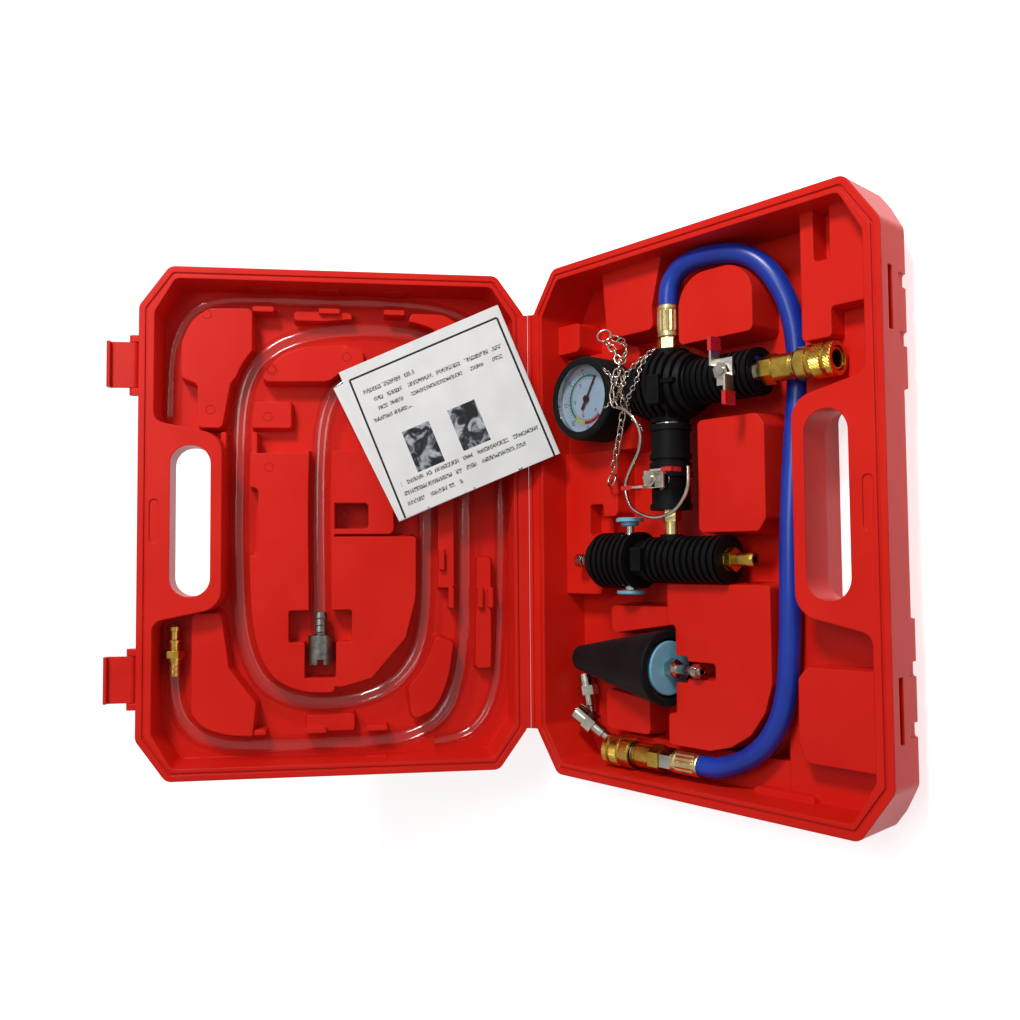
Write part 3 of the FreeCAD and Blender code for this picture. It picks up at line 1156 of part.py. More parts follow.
# Supply hose, its ferrules and the nut at the block
port_start = main + d.coreHalf
nut_profile = [("portBore", "-spigotDepth + 0.4"), ("spigot", "-spigotDepth + 0.4"),
               ("spigot", "2"), ("6.4", "2"), ("6.4", "portNutLength + 3.5"),
               ("portBore", "portNutLength + 3.5")]
port_turned = turned("hose_nut_turned", nut_profile, (port_start, d.crossAcross, unit_z), X)
port_hex = hexagon("hose_nut_hex", "portNutHex", "portNutLength",
                   (port_start + 2.4, d.crossAcross, unit_z), X)
port_way = rod("hose_nut_way", "6", "portNutLength + 2", (port_start + 1.4, d.crossAcross, unit_z),
               X)
keep("hose_nut", joined("hose_nut", [port_turned, carved("hose_nut_ring", port_hex, port_way)]))
ferrule_start = port_start + d.portNutLength + 3.5
hose_start = ferrule_start + d.ferruleLength
lower_x = -(d.caseLength / 2 - d.rimWidth - d.lowerCouplerInset)
lower_y, lower_z = d.lowerCouplerStart, d.lowerHoseHeight
ferrule_profile = [("hoseBore", "0"), ("ferruleRadius - 1.6", "0"), ("ferruleRadius - 1", "1"),
                   ("ferruleRadius - 1", "4"), ("ferruleRadius", "5"), ("ferruleRadius", "9"),
                   ("ferruleRadius - 0.5", "9.6"), ("ferruleRadius", "10.2"),
                   ("ferruleRadius", "14"), ("ferruleRadius - 0.5", "14.6"),
                   ("ferruleRadius", "15.2"), ("ferruleRadius", "ferruleLength"),
                   ("hoseBore", "ferruleLength")]
ferrules = [turned("ferrule_block", ferrule_profile, (ferrule_start, d.crossAcross, unit_z), X),
            turned("ferrule_lower", ferrule_profile, (lower_x, lower_y + d.ferruleLength, lower_z),
                   toward_grip)]
ferrule_pair = doc.addObject("Part::Compound", "hose_ferrules")
ferrule_pair.Links = ferrules
keep("hose_ferrules", ferrule_pair)

blue_points = [V(hose_start, d.crossAcross, unit_z), V(hose_start + 10.2, d.crossAcross, unit_z),
               V(163.5, 17.2, 32.7), V(170.4, 8.2, 32.2), V(172.6, -6.2, 31.2),
               V(171.4, -25.5, 29), V(165.8, -42, 26.2), V(153.6, -54.8, 22.8),
               V(136, -63.4, 19.2), V(117.5, -67.4, 16.4), V(98, -68.4, 15), V(80, -68.2, 14.8),
               V(63, -67.6, 16.2), V(42, -67.8, 20.2), V(18, -68.6, 24.4), V(-14, -68.4, 27.4),
               V(-52, -68.2, 28.4), V(-86, -67.2, 28.6), V(-112.6, -64.9, 28.8),
               V(-132.8, -59.2, 29), V(-149.6, -48.2, 29.4), V(-161.4, -32.4, 30.2),
               V(lower_x + 0.9, -15.2, 30.8), V(lower_x, lower_y - 8.1, lower_z),
               V(lower_x, lower_y, lower_z)]
blue = feature("blue_hose", tube("blue_hose", blue_points, d.hoseRadius, d.hoseBore))
keep("blue_hose", blue)


# Quick couplers: a body with a sprung sleeve
def coupler(name, at, heading, hex_turn=0.0):
    hex_part = hexagon(name + "_hex", "couplerHex", "couplerHexLength", at, heading, hex_turn)
    total = "couplerHexLength + couplerCollarLength + couplerTravel + sleeveLength"
    step = "couplerHexLength + couplerCollarLength"
    tube_part = turned(name + "_turned", [
        ("couplerBore", "2"), ("couplerCollar", "2"), ("couplerCollar", f"{step} - 1"),
        ("couplerCollar - 0.6", step), ("couplerBarrel", step), ("couplerBarrel", f"{total} - 3"),
        ("couplerBarrel - 0.8", f"{total} - 1"), ("couplerBore", f"{total} - 1")], at, heading)
    hex_way = rod(name + "_hex_way", "portBore", "couplerHexLength + 2", at - heading, heading)
    solid = joined(name + "_joined", [hex_part, tube_part])
    bore = rod(name + "_bore", "couplerBore", total,
               at + heading * (d.couplerHexLength - 1), heading)
    ways = joined(name + "_ways", [hex_way, bore])
    keep(name + "_body", carved(name + "_body", solid, ways))
    sleeve_at = at + heading * (d.couplerHexLength + d.couplerCollarLength + d.couplerTravel)
    radius = "sleeveRadius"
    sleeve = turned(name + "_sleeve", [
        ("couplerCollar + 0.4", "0"), (f"{radius} - 0.6", "0"), (radius, "0.8"), (radius, "7"),
        (f"{radius} - 1.2", "7.6"), (f"{radius} - 1.2", "10.4"), (radius, "11"), (radius, "17.6"),
        (f"{radius} - 1.2", "18.2"), (f"{radius} - 1.2", "20"), (radius, "20.6"),
        (radius, "sleeveLength - 0.8"), (f"{radius} - 0.6", "sleeveLength"),
        ("couplerBarrel + runningGap", "sleeveLength"), ("couplerBarrel + runningGap", "12"),
        ("couplerCollar + 0.4", "12")], sleeve_at, heading)
    keep(name + "_sleeve", sleeve)
    spring_start = d.couplerHexLength + d.couplerCollarLength + 0.2
    spring_length = d.couplerTravel + 12 - 0.4
    pitch = (spring_length - 2 * d.springWire) / d.springTurns
    radius = (d.couplerBarrel + d.couplerCollar + 0.4) / 2
    helix = Part.makeLongHelix(pitch, pitch * d.springTurns, radius)
    ring_wire = Part.Wire(Part.makeCircle(d.springWire, V(radius, 0, 0), Y))
    coil = Part.Wire(helix.Edges).makePipeShell([ring_wire], True, True)
    spring = feature(name + "_spring", coil)
    spring.Placement = place(at + heading * (spring_start + d.springWire), heading)
    keep(name + "_spring", spring)


coupler_start = along_main(d.coreHalf + d.valveLength + 4.1)
coupler("coupler_right", coupler_start, toward_grip)
swivel_at = V(lower_x, lower_y + d.ferruleLength, lower_z)
swivel = hexagon("swivel_hex", "portNutHex + 1", "9.8", swivel_at, Y)
swivel_way = rod("swivel_way", "portBore", "12", swivel_at - Y, Y)
keep("swivel_nut", carved("swivel_nut", swivel, swivel_way))
coupler("coupler_lower", swivel_at + Y * 9.9, Y)

# Rubber cone with its disc and plug
cone_foot = V(cone, d.coneFoot, d.coneFootHeight)
cone_tip = V(cone, d.coneTip, d.coneTipHeight)
cone_axis = (cone_foot - cone_tip).normalize()
cone_length = (cone_foot - cone_tip).Length
rubber = turned("rubber_cone", [
    ("3.4", "0"), ("coneTipRadius - 0.8", "0"), ("coneTipRadius", "0.8"),
    ("coneFootRadius", cone_length - 1.5), ("coneFootRadius - 1", cone_length),
    ("discRadius + 3", cone_length), ("discRadius + 1", cone_length - 3),
    ("conePlug", cone_length - 3), ("conePlug", cone_length - 12),
    ("coneFootRadius - coneHollow - 4", cone_length - 12), ("3.4", "20")], cone_tip, cone_axis)
keep("rubber_cone", rubber)
disc_at = cone_tip + cone_axis * (cone_length - 3)
disc = turned("cone_disc", [("conePlug + runningGap", "0"), ("discRadius", "0"),
                            ("discRadius", "discThickness - 0.6"),
                            ("discRadius - 0.6", "discThickness"),
                            ("conePlug + runningGap", "discThickness")], disc_at, cone_axis)
keep("cone_disc", disc)
plug_at = disc_at + cone_axis * d.discThickness
nipple_turned = turned("cone_nipple_turned", [
    ("1.6", "-discThickness - 8"), ("conePlug", "-discThickness - 8"), ("conePlug", "0"),
    ("conePlug + 2.4", "0"), ("conePlug + 2.4", "6"), ("conePlug", "7"), ("conePlug", "22"),
    ("conePlugHead", "23"), ("conePlugHead", "27"), ("conePlug", "27.6"), ("conePlug", "30"),
    ("1.6", "30")], plug_at, cone_axis)
nipple_flats = hexagon("cone_nipple_flats", "adapterHex - 2", "6", plug_at + cone_axis * 0.1,
                       cone_axis)
flats_way = rod("cone_nipple_way", "conePlug", "8", plug_at - cone_axis, cone_axis)
keep("cone_nipple", joined("cone_nipple", [nipple_turned, carved("cone_nipple_nut", nipple_flats,
                                                                 flats_way)]))


# Two loose adapters
def adapter(name, at, heading, scale):
    def r(text):
        return f"({text}) * {scale}"
    turned_part = turned(name + "_turned", [
        ("adapterBore", "0"), (r("adapterTube + 1.6"), "0"), (r("adapterTube + 1.6"), r("9")),
        (r("adapterTube"), r("9")), (r("adapterTube"), r("24")), (r("adapterTube - 1"), r("24.6")),
        (r("adapterTube - 1"), r("29")), (r("adapterTube + 0.6"), r("29.8")),
        (r("adapterTube + 0.6"), r("33")), (r("adapterTube - 0.4"), r("34")),
        ("adapterBore", r("34"))], at, heading)
    nut = hexagon(name + "_hex", r("adapterHex"), r("7"), at + heading * (9 * scale), heading)
    way = rod(name + "_way", r("adapterTube - 0.5"), r("9"), at + heading * (8 * scale), heading)
    keep(name, joined(name, [turned_part, carved(name + "_nut", nut, way)]))


hinge_y = d.caseWidth / 2 - d.rimWidth
side_x = -(d.caseLength / 2 - d.rimWidth)
small_z = d.baseFloor + (d.adapterHex / math.sqrt(3)) + d.seatGap
adapter("adapter_small", V(side_x + 62, hinge_y - 10.5, small_z), V(-1, -0.2, 0).normalize(), 1.0)
lean = V(-22, -26, -13).normalize()
adapter("adapter_large", V(side_x + 36, hinge_y - 16, 30.5), lean, 1.08)


# Chain of wire links, and the wire hook at its end
def link(half_length, half_width, wire):
    end = half_length - half_width
    path = Part.Wire([
        Part.LineSegment(V(-end, half_width, 0), V(end, half_width, 0)).toShape(),
        Part.Arc(V(end, half_width, 0), V(half_length, 0, 0), V(end, -half_width, 0)).toShape(),
        Part.LineSegment(V(end, -half_width, 0), V(-end, -half_width, 0)).toShape(),
        Part.Arc(V(-end, -half_width, 0), V(-half_length, 0, 0), V(-end, half_width, 0)).toShape()])
    section = Part.Wire(Part.makeCircle(wire, V(0, half_width, 0), X))
    return path.makePipeShell([section], True, True)


def chain_along(points):
    """Links set one after another along a smooth curve, each turned across the last."""
    curve = Part.BSplineCurve()
    curve.interpolate(points)
    edge = curve.toShape()
    pitch = 2 * (d.linkHalfLength - d.chainWire) - d.linkGap
    count = int(edge.Length / pitch)
    links = []
    for i in range(count):
        at = curve.parameterAtDistance((i + 0.5) * edge.Length / count, curve.FirstParameter)
        heading = V(curve.tangent(at)[0]).normalize()
        turn = FreeCAD.Rotation(X, heading).multiply(FreeCAD.Rotation(X, 45 + 90 * (i % 2)))
        piece = link(d.linkHalfLength, d.linkHalfWidth, d.chainWire)
        piece.Placement = FreeCAD.Placement(curve.value(at), turn)
        links.append(piece)
    return links


hook_over = unit_z + d.lowerSleeve + d.hookWire + d.seatGap
hook_points = [V(74.8, 49.4, 56.4), V(71.8, 40.5, 57.6), V(66, 33.5, 57.6),
               V(60, 30.5, 56), V(51.5, 31.5, hook_over + 3),
               V(42.5, 36.5, hook_over), V(33, 44, hook_over - 0.4), V(20, 51, hook_over - 0.8),
               V(4.5, 46, hook_over - 0.4), V(-4.2, 26, hook_over), V(0.2, 5.4, hook_over - 0.4),
               V(14.5, -5.6, hook_over - 0.8), V(30, -5.4, hook_over - 1)]
hook_end = (hook_points[0] - hook_points[1]).normalize()
stem_top = unit_z + d.stemHex / math.sqrt(3) + d.seatGap + 2.2
strands = [
    [V(126, 71, 44), V(113, 60.5, 43.8), V(100, 56, 44), V(88, 54.2, stem_top), V(74, 55.5, 43.6),
     V(60, 60, 42), V(45, 68, 38), V(32, 77, 32)],
    [V(128.8, 68.4, 40.3), V(124, 58.5, 39), V(116, 52.5, 43), V(106, 51.5, 50),
     V(95, 52, 55.5), V(84, 53.5, 57), hook_points[0] + hook_end * 1.6],
]
links = [piece for points in strands for piece in chain_along(points)]
for at, normal in ((V(131.5, 74.5, 42), V(0.5, -0.5, 1)), (V(27.4, 80.2, 29.7), V(0.3, 0.3, 1))):
    loop = Part.makeTorus(d.ringRadius, d.chainWire + 0.2, at, normal)
    links.append(loop)
keep("safety_chain", feature("safety_chain", Part.makeCompound(links)))

hook_wire, _ = route_wire(hook_points)
hook_section = Part.Wire(Part.makeCircle(d.hookWire, hook_points[0], hook_points[1]
                                         - hook_points[0]))
hook_solid = hook_wire.makePipeShell([hook_section], True, True)
keep("snap_hook", feature("snap_hook", hook_solid))

# Folded leaflet, leaning from the lid platform to the rim of the base
leaf_profile = [V(0, 0, 0), V(d.leafLong, 0, 0), V(d.leafLong, 0, d.paper),
                V(d.paper * 2, 0, d.paper), V(d.paper * 2, 0, d.paper + d.leafSpread * 0.3),
                V(d.leafLong - 3, 0, d.paper + d.leafSpread),
                V(d.leafLong - 3, 0, 2 * d.paper + d.leafSpread), V(0, 0, 2 * d.paper)]
leaf = Part.Face(Part.makePolygon(leaf_profile + leaf_profile[:1])).extrude(Y * d.leafWide)
leaflet = keep("leaflet", feature("leaflet", leaf))
tilt = math.tan(math.radians(d.leafTilt))
leaf_across = V(45, -109, 109 * tilt).normalize()
leaf_up = V(0, math.sin(math.radians(d.leafTilt)), math.cos(math.radians(d.leafTilt)))
leaf_along = leaf_up.cross(leaf_across)
leaf_edge = V(116.5, 138, platform + d.seatGap)
leaf_corner = leaf_edge - leaf_along * d.leafWide
leaf_turn = FreeCAD.Rotation(leaf_across, leaf_along, leaf_up, "XYZ")
leaflet.Placement = lid_frame.multiply(FreeCAD.Placement(leaf_corner, leaf_turn))


# Check every object, then write one file for each piece
doc.recompute()
faults = []
for thing in doc.Objects:
    if "Invalid" in thing.State or "Error" in thing.State:
        faults.append(f"{thing.Name}: {thing.State}")
for name, piece in nodes.items():
    if piece.Shape.isNull() or not piece.Shape.isValid():
        faults.append(f"{name}: no valid shape")
    elif not piece.Shape.Solids:
        faults.append(f"{name}: no solid")
if faults:
    raise RuntimeError("; ".join(faults))
for name, piece in sorted(nodes.items()):
    piece.Shape.exportStep(f"parts/{name}.step")
print(f"{len(nodes)} pieces written")
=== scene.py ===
import math

import bpy
from mathutils import Matrix, Vector


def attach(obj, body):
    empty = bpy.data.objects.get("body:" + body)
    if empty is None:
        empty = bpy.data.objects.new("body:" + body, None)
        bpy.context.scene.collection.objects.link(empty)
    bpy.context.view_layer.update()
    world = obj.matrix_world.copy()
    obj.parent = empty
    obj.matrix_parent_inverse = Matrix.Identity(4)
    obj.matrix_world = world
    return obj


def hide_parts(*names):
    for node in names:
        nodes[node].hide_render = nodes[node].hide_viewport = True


# Coolant vacuum refill kit in its open carrying case. Lengths in the dictionaries are
# millimetres in the part's own frame, unless a note says metres: +X along the case, +Y towards
# the hinge, +Z up.

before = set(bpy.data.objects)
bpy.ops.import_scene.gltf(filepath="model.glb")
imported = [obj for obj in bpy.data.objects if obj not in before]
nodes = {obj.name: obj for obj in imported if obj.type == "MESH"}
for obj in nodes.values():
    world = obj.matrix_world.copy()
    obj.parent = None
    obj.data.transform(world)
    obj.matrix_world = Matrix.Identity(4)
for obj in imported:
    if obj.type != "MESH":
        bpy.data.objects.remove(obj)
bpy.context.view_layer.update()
mm = 0.001
bpy.ops.object.select_all(action="DESELECT")


def metres(point):
    return Vector(point) * mm


# Camera, lamps and floor

cameraView = {  # place and nearest in metres, lens and picture width in millimetres
    "place": (-0.029981, -0.421292, 0.564144),
    "right": (-0.00836, -0.654918, -0.755654),
    "up": (0.998765, -0.042476, 0.025764),
    "back": (-0.048971, -0.754505, 0.654464),
    "lens": 35.115, "picture": 36, "nearest": 0.01,
}
bpy.ops.object.camera_add()
camera = bpy.context.object
camera.name = "photoCamera"
camera.matrix_world = Matrix.Translation(cameraView["place"]) @ Matrix(
    (cameraView["right"], cameraView["up"], cameraView["back"])).transposed().to_4x4()
camera.data.lens = cameraView["lens"]
camera.data.sensor_width = cameraView["picture"]
camera.data.clip_start = cameraView["nearest"]
bpy.context.scene.camera = camera
bpy.context.scene.view_settings.view_transform = "Standard"

lamps = {  # place and aim in metres, width in metres, power in watts
    "windowLamp": {"place": (0.95, -0.3, 1.05), "aim": (0, 0.08, 0.08), "width": 0.26, "watts": 13},
    "overheadLamp": {"place": (0.3, -0.25, 1.25), "aim": (0, 0.1, 0.1), "width": 0.45, "watts": 3.2},
}
for lampName, lamp in lamps.items():
    bpy.ops.object.light_add(type="AREA", location=lamp["place"])
    light = bpy.context.object
    light.name = lampName
    light.data.size = lamp["width"]
    light.data.energy = lamp["watts"]
    aim = Vector(lamp["aim"]) - Vector(lamp["place"])
    light.rotation_euler = aim.to_track_quat("-Z", "Y").to_euler()


# Helpers for colour and nodes

def toLinear(code):
    # sRGB hex to the linear colour that Blender works in
    parts = [int(code[i:i + 2], 16) / 255 for i in (0, 2, 4)]
    return tuple(c / 12.92 if c <= 0.04045 else ((c + 0.055) / 1.055) ** 2.4 for c in parts) + (1.0,)


def addNode(tree, kind, settings=None, links=None):
    # a setting is a socket, by name or place, or else a property of the node
    made = tree.nodes.new(kind)
    for key, value in (settings or {}).items():
        if key == "stops":  # colour ramp: place and hex
            elements = made.color_ramp.elements
            for element, (place, colour) in zip(elements, value):
                element.position = place
                element.color = toLinear(colour)
            for place, colour in value[len(elements):]:
                elements.new(place).color = toLinear(colour)
        elif isinstance(key, int) or key in made.inputs:
            made.inputs[key].default_value = value
        else:
            setattr(made, key, value)
    for key, source in (links or {}).items():
        tree.links.new(source, made.inputs[key])
    return made


room = {"level": 0.26, "mirrored": 0.26}  # light on the object, and what mirrors see on top of it
world = bpy.data.worlds.new("paleRoom")
bpy.context.scene.world = world
world.use_nodes = True
sky = world.node_tree
sky.nodes.clear()
rays = addNode(sky, "ShaderNodeLightPath").outputs
seen = addNode(sky, "ShaderNodeMath", {"operation": "MAXIMUM"},
               {0: rays["Is Camera Ray"], 1: rays["Is Transmission Ray"]})
mirrored = addNode(sky, "ShaderNodeMath",
                   {"operation": "MULTIPLY_ADD", 1: room["mirrored"], 2: room["level"]},
                   {0: rays["Is Glossy Ray"]})
level = addNode(sky, "ShaderNodeMath", {"operation": "MAXIMUM"},
                {0: seen.outputs[0], 1: mirrored.outputs[0]})
roomLight = addNode(sky, "ShaderNodeBackground", {"Color": (1, 1, 1, 1)}, {"Strength": level.outputs[0]})
addNode(sky, "ShaderNodeOutputWorld", links={"Surface": roomLight.outputs[0]})

floorSheet = {"width": 8.0, "colour": "F2F2F2", "glow": 0.72}  # width in metres
bpy.ops.mesh.primitive_plane_add(size=floorSheet["width"])
floor = bpy.context.object
floor.name = "paleFloor"
floorPaper = bpy.data.materials.new("matteBackdropPaper")
floorPaper.use_nodes = True
tree = floorPaper.node_tree
tree.nodes.clear()
paperSide = addNode(tree, "ShaderNodeBsdfDiffuse", {"Color": toLinear(floorSheet["colour"])})
rays = addNode(tree, "ShaderNodeLightPath").outputs
seen = addNode(tree, "ShaderNodeMath", {"operation": "MAXIMUM"},
               {0: rays["Is Camera Ray"], 1: rays["Is Transmission Ray"]})
seen = addNode(tree, "ShaderNodeMath", {"operation": "MAXIMUM"},
               {0: seen.outputs[0], 1: rays["Is Glossy Ray"]})
level = addNode(tree, "ShaderNodeMath", {"operation": "MULTIPLY", 1: floorSheet["glow"]},
                {0: seen.outputs[0]})
glow = addNode(tree, "ShaderNodeEmission", {"Color": (1, 1, 1, 1)}, {"Strength": level.outputs[0]})
both = addNode(tree, "ShaderNodeAddShader", links={0: paperSide.outputs[0], 1: glow.outputs[0]})
addNode(tree, "ShaderNodeOutputMaterial", links={"Surface": both.outputs[0]})
floor.data.materials.append(floorPaper)
print("camera, lamps and floor placed")


# Materials

def newMaterial(name):
    material = bpy.data.materials.new(name)
    material.use_nodes = True
    material.node_tree.nodes.clear()
    return material, material.node_tree


def softStops(dark, light):
    return [(0.3, dark), (0.7, light)]


def mouldedSurface(name, look):
    # a solid with slow colour patches, a fine grain and softened edges; sizes in millimetres
    material, tree = newMaterial(name)
    where = addNode(tree, "ShaderNodeTexCoord").outputs["Object"]
    patches = addNode(tree, "ShaderNodeTexNoise", {"Scale": 1 / (look["patch"] * mm), "Detail": 3.0},
                      {"Vector": where})
    colour = addNode(tree, "ShaderNodeValToRGB", {"stops": softStops(look["dark"], look["light"])},
                     {0: patches.outputs["Fac"]})
    grain = addNode(tree, "ShaderNodeTexNoise", {"Scale": 1 / (look["grain"] * mm), "Detail": 2.0},
                    {"Vector": where})
    rough = addNode(tree, "ShaderNodeMapRange", {"To Min": look["rough"][0], "To Max": look["rough"][1]},
                    {"Value": grain.outputs["Fac"]})
    links = {"Height": grain.outputs["Fac"]}
    if "edge" in look:  # shading only: the radius of the moulded or broken corner
        corner = addNode(tree, "ShaderNodeBevel", {"samples": 4, "Radius": look["edge"] * mm})
        links["Normal"] = corner.outputs[0]
    relief = addNode(tree, "ShaderNodeBump", {"Strength": 0.5, "Distance": look["height"] * mm}, links)
    shader = addNode(tree, "ShaderNodeBsdfPrincipled", look["sockets"],
                     {"Base Color": colour.outputs[0], "Roughness": rough.outputs[0],
                      "Normal": relief.outputs[0]})
    addNode(tree, "ShaderNodeOutputMaterial", links={"Surface": shader.outputs[0]})
    return material


looks = {
    # blow-moulded high-density polyethylene: waxy satin red, faint waviness from uneven cooling
    "blowMouldedHdpe": {"dark": "D01A0F", "light": "DB2316", "patch": 60, "grain": 0.9, "height": 0.05,
                        "rough": (0.3, 0.42), "edge": 1.3,
                        "sockets": {"IOR": 1.54, "Specular IOR Level": 0.16}},
    # injection-moulded polypropylene latch: same red, a little glossier
    "mouldedPolypropylene": {"dark": "CE1B11", "light": "D92417", "patch": 25, "grain": 0.7,
                             "height": 0.03, "rough": (0.28, 0.4), "edge": 0.5,
                             "sockets": {"IOR": 1.49, "Specular IOR Level": 0.2}},
    # glass-filled nylon covers: matt black, ribs catch a grey sheen
    "blackNylonCover": {"dark": "070708", "light": "101012", "patch": 12, "grain": 0.5, "height": 0.05,
                        "rough": (0.42, 0.6), "edge": 0.4,
                        "sockets": {"IOR": 1.53, "Specular IOR Level": 0.1}},
    # moulded nitrile rubber boot and cone: soft dark surface with bloom
    "mouldedNitrile": {"dark": "080809", "light": "131314", "patch": 18, "grain": 0.6, "height": 0.04,
                       "rough": (0.5, 0.72), "edge": 0.6,
                       "sockets": {"IOR": 1.5, "Specular IOR Level": 0.1, "Sheen Weight": 0.03}},
    # machined and polished brass: warm yellow with tarnish in patches
    "machinedBrass": {"dark": "B38B33", "light": "DCB957", "patch": 9, "grain": 0.35, "height": 0.012,
                      "rough": (0.16, 0.34), "edge": 0.25, "sockets": {"Metallic": 1.0}},
    # yellow-passivated zinc on the crimped ferrules and hose nuts: pale champagne gold
    "yellowPassivate": {"dark": "CBB474", "light": "EADBA6", "patch": 8, "grain": 0.3, "height": 0.01,
                        "rough": (0.2, 0.34), "edge": 0.25, "sockets": {"Metallic": 1.0}},
    # bright nickel plating over brass: warm mirror, slightly yellow
    "nickelPlate": {"dark": "A8A296", "light": "D8D2C4", "patch": 8, "grain": 0.3, "height": 0.008,
                    "rough": (0.1, 0.24), "edge": 0.25, "sockets": {"Metallic": 1.0}},
    # zinc-plated pressed steel handle: pale, soft reflections
    "zincPlatedSteel": {"dark": "D2CEC5", "light": "F2EEE5", "patch": 6, "grain": 0.4, "height": 0.012,
                        "rough": (0.24, 0.4), "edge": 0.3, "sockets": {"Metallic": 1.0}},
    # turned steel strainer end: grey, dull from the cutting tool
    "turnedSteel": {"dark": "62605C", "light": "918E88", "patch": 5, "grain": 0.3, "height": 0.015,
                    "rough": (0.28, 0.46), "edge": 0.25, "sockets": {"Metallic": 1.0}},
    # drawn stainless spring wire: plain grey with a soft gleam along it
    "drawnSpringWire": {"dark": "8C8984", "light": "B8B5AE", "patch": 4, "grain": 0.3, "height": 0.01,
                        "rough": (0.2, 0.34), "sockets": {"Metallic": 1.0}},
    # die-cast aluminium block inside the covers: pale, matt and slightly pitted
    "castAluminium": {"dark": "A9A8A6", "light": "C9C8C6", "patch": 10, "grain": 0.6, "height": 0.03,
                      "rough": (0.38, 0.55), "sockets": {"Metallic": 1.0}},
    # dip-moulded vinyl grips: glossy red with soft drips
    "dippedVinyl": {"dark": "BE1512", "light": "D41E18", "patch": 7, "grain": 1.6, "height": 0.03,
                    "rough": (0.2, 0.32), "sockets": {"IOR": 1.53, "Coat Weight": 0.3}},
    # moulded acetal knobs and disc: pale blue, waxy
    "mouldedAcetal": {"dark": "62A7C3", "light": "76B9D2", "patch": 14, "grain": 0.6, "height": 0.02,
                      "rough": (0.3, 0.44), "edge": 0.4, "sockets": {"IOR": 1.48}},
    # extruded polyurethane hose: deep blue, long soft highlight
    "extrudedPolyurethane": {"dark": "07298E", "light": "0D3AAA", "patch": 30, "grain": 1.2,
                             "height": 0.03, "rough": (0.24, 0.38), "sockets": {"IOR": 1.5}},
    # stoved enamel on the pointer: even satin black
    "stovedEnamel": {"dark": "141414", "light": "202020", "patch": 5, "grain": 0.4, "height": 0.005,
                     "rough": (0.3, 0.4), "sockets": {"IOR": 1.5}},
}
finish = {name: mouldedSurface(name, look) for name, look in looks.items()}

wears = {
    "blowMouldedHdpe": ["base_shell", "lid_shell", "living_hinge"],
    "mouldedPolypropylene": ["latch_upper", "latch_lower"],
    "blackNylonCover": ["manifold_cover_top", "manifold_cover_bottom", "valve_lower_cover_top",
                        "valve_lower_cover_bottom", "venturi_cover_top", "venturi_cover_bottom"],
    "mouldedNitrile": ["gauge_boot", "rubber_cone"],
    "yellowPassivate": ["branch_nipple", "hose_ferrules", "hose_nut"],
    "machinedBrass": ["plug_fitting", "bourdon_tube", "gauge_movement", "gauge_stem",
                      "tail_barb", "coupler_right_body", "coupler_lower_body",
                      "coupler_right_sleeve", "coupler_lower_sleeve"],
    "nickelPlate": ["gauge_case", "valve_right_body", "valve_right_ball", "valve_right_nut",
                    "valve_lower_body", "valve_lower_ball", "valve_lower_nut", "spool", "air_nipple",
                    "swivel_nut", "safety_chain", "snap_hook", "cone_nipple",
                    "adapter_small", "adapter_large"],
    "zincPlatedSteel": ["valve_right_handle", "valve_lower_handle"],
    "turnedSteel": ["strainer_barb", "strainer_cup", "latch_pins"],
    "drawnSpringWire": ["coupler_right_spring", "coupler_lower_spring"],
    "castAluminium": ["manifold_core", "venturi_core"],
    "dippedVinyl": ["valve_right_grips", "valve_lower_grips"],
    "mouldedAcetal": ["spool_knobs", "cone_disc"],
    "stovedEnamel": ["gauge_needle"],
}


def dress(piece, material):
    piece.data.materials.clear()
    piece.data.materials.append(material)


for finishName, members in wears.items():
    for member in members:
        dress(nodes[member], finish[finishName])


def clearSheet(name, look):
    # a clear skin: see-through face on, whiter and more mirror-like at its edges
    material, tree = newMaterial(name)
    facing = addNode(tree, "ShaderNodeLayerWeight", {"Blend": 0.5}).outputs["Facing"]
    steep = addNode(tree, "ShaderNodeMath", {"operation": "POWER", 1: look["steepness"]}, {0: facing})
    share = addNode(tree, "ShaderNodeMath",
                    {"operation": "MULTIPLY_ADD", 1: look["rim"], 2: look["face"]}, {0: steep.outputs[0]})
    through = addNode(tree, "ShaderNodeBsdfTransparent", {"Color": toLinear(look["tint"])})
    skin = addNode(tree, "ShaderNodeBsdfPrincipled",
                   {"Base Color": toLinear(look["skin"]), "Roughness": look["rough"], "Metallic": 1.0})
    mixed = addNode(tree, "ShaderNodeMixShader",
                    links={0: share.outputs[0], 1: through.outputs[0], 2: skin.outputs[0]})
    addNode(tree, "ShaderNodeOutputMaterial", links={"Surface": mixed.outputs[0]})
    return material


# plasticised PVC tube: water-clear wall, bright lines where the light glances along it
clearPvc = clearSheet("extrudedClearPvc", {"face": 0.034, "rim": 0.7, "steepness": 4.4,
                                           "tint": "F8F4F2", "skin": "F8F6F4", "rough": 0.1})
# polycarbonate window: clear, with a mirror edge
windowPane = clearSheet("mouldedPolycarbonate", {"face": 0.06, "rim": 0.8, "steepness": 4.0,
                                                 "tint": "EEF4F8", "skin": "E6EEF4", "rough": 0.05})
dress(nodes["gauge_lens"], windowPane)
print("materials made and given to the CAD pieces")


# Helpers for pieces

def pickOnly(pieces):
    # selects these and nothing else; the first becomes the active one
    bpy.ops.object.select_all(action="DESELECT")
    for piece in pieces:
        piece.select_set(True)
    bpy.context.view_layer.objects.active = pieces[0]


def joinPieces(name, pieces):
    pickOnly(pieces)
    bpy.ops.object.join()
    joined = bpy.context.object
    joined.name = name
    return joined


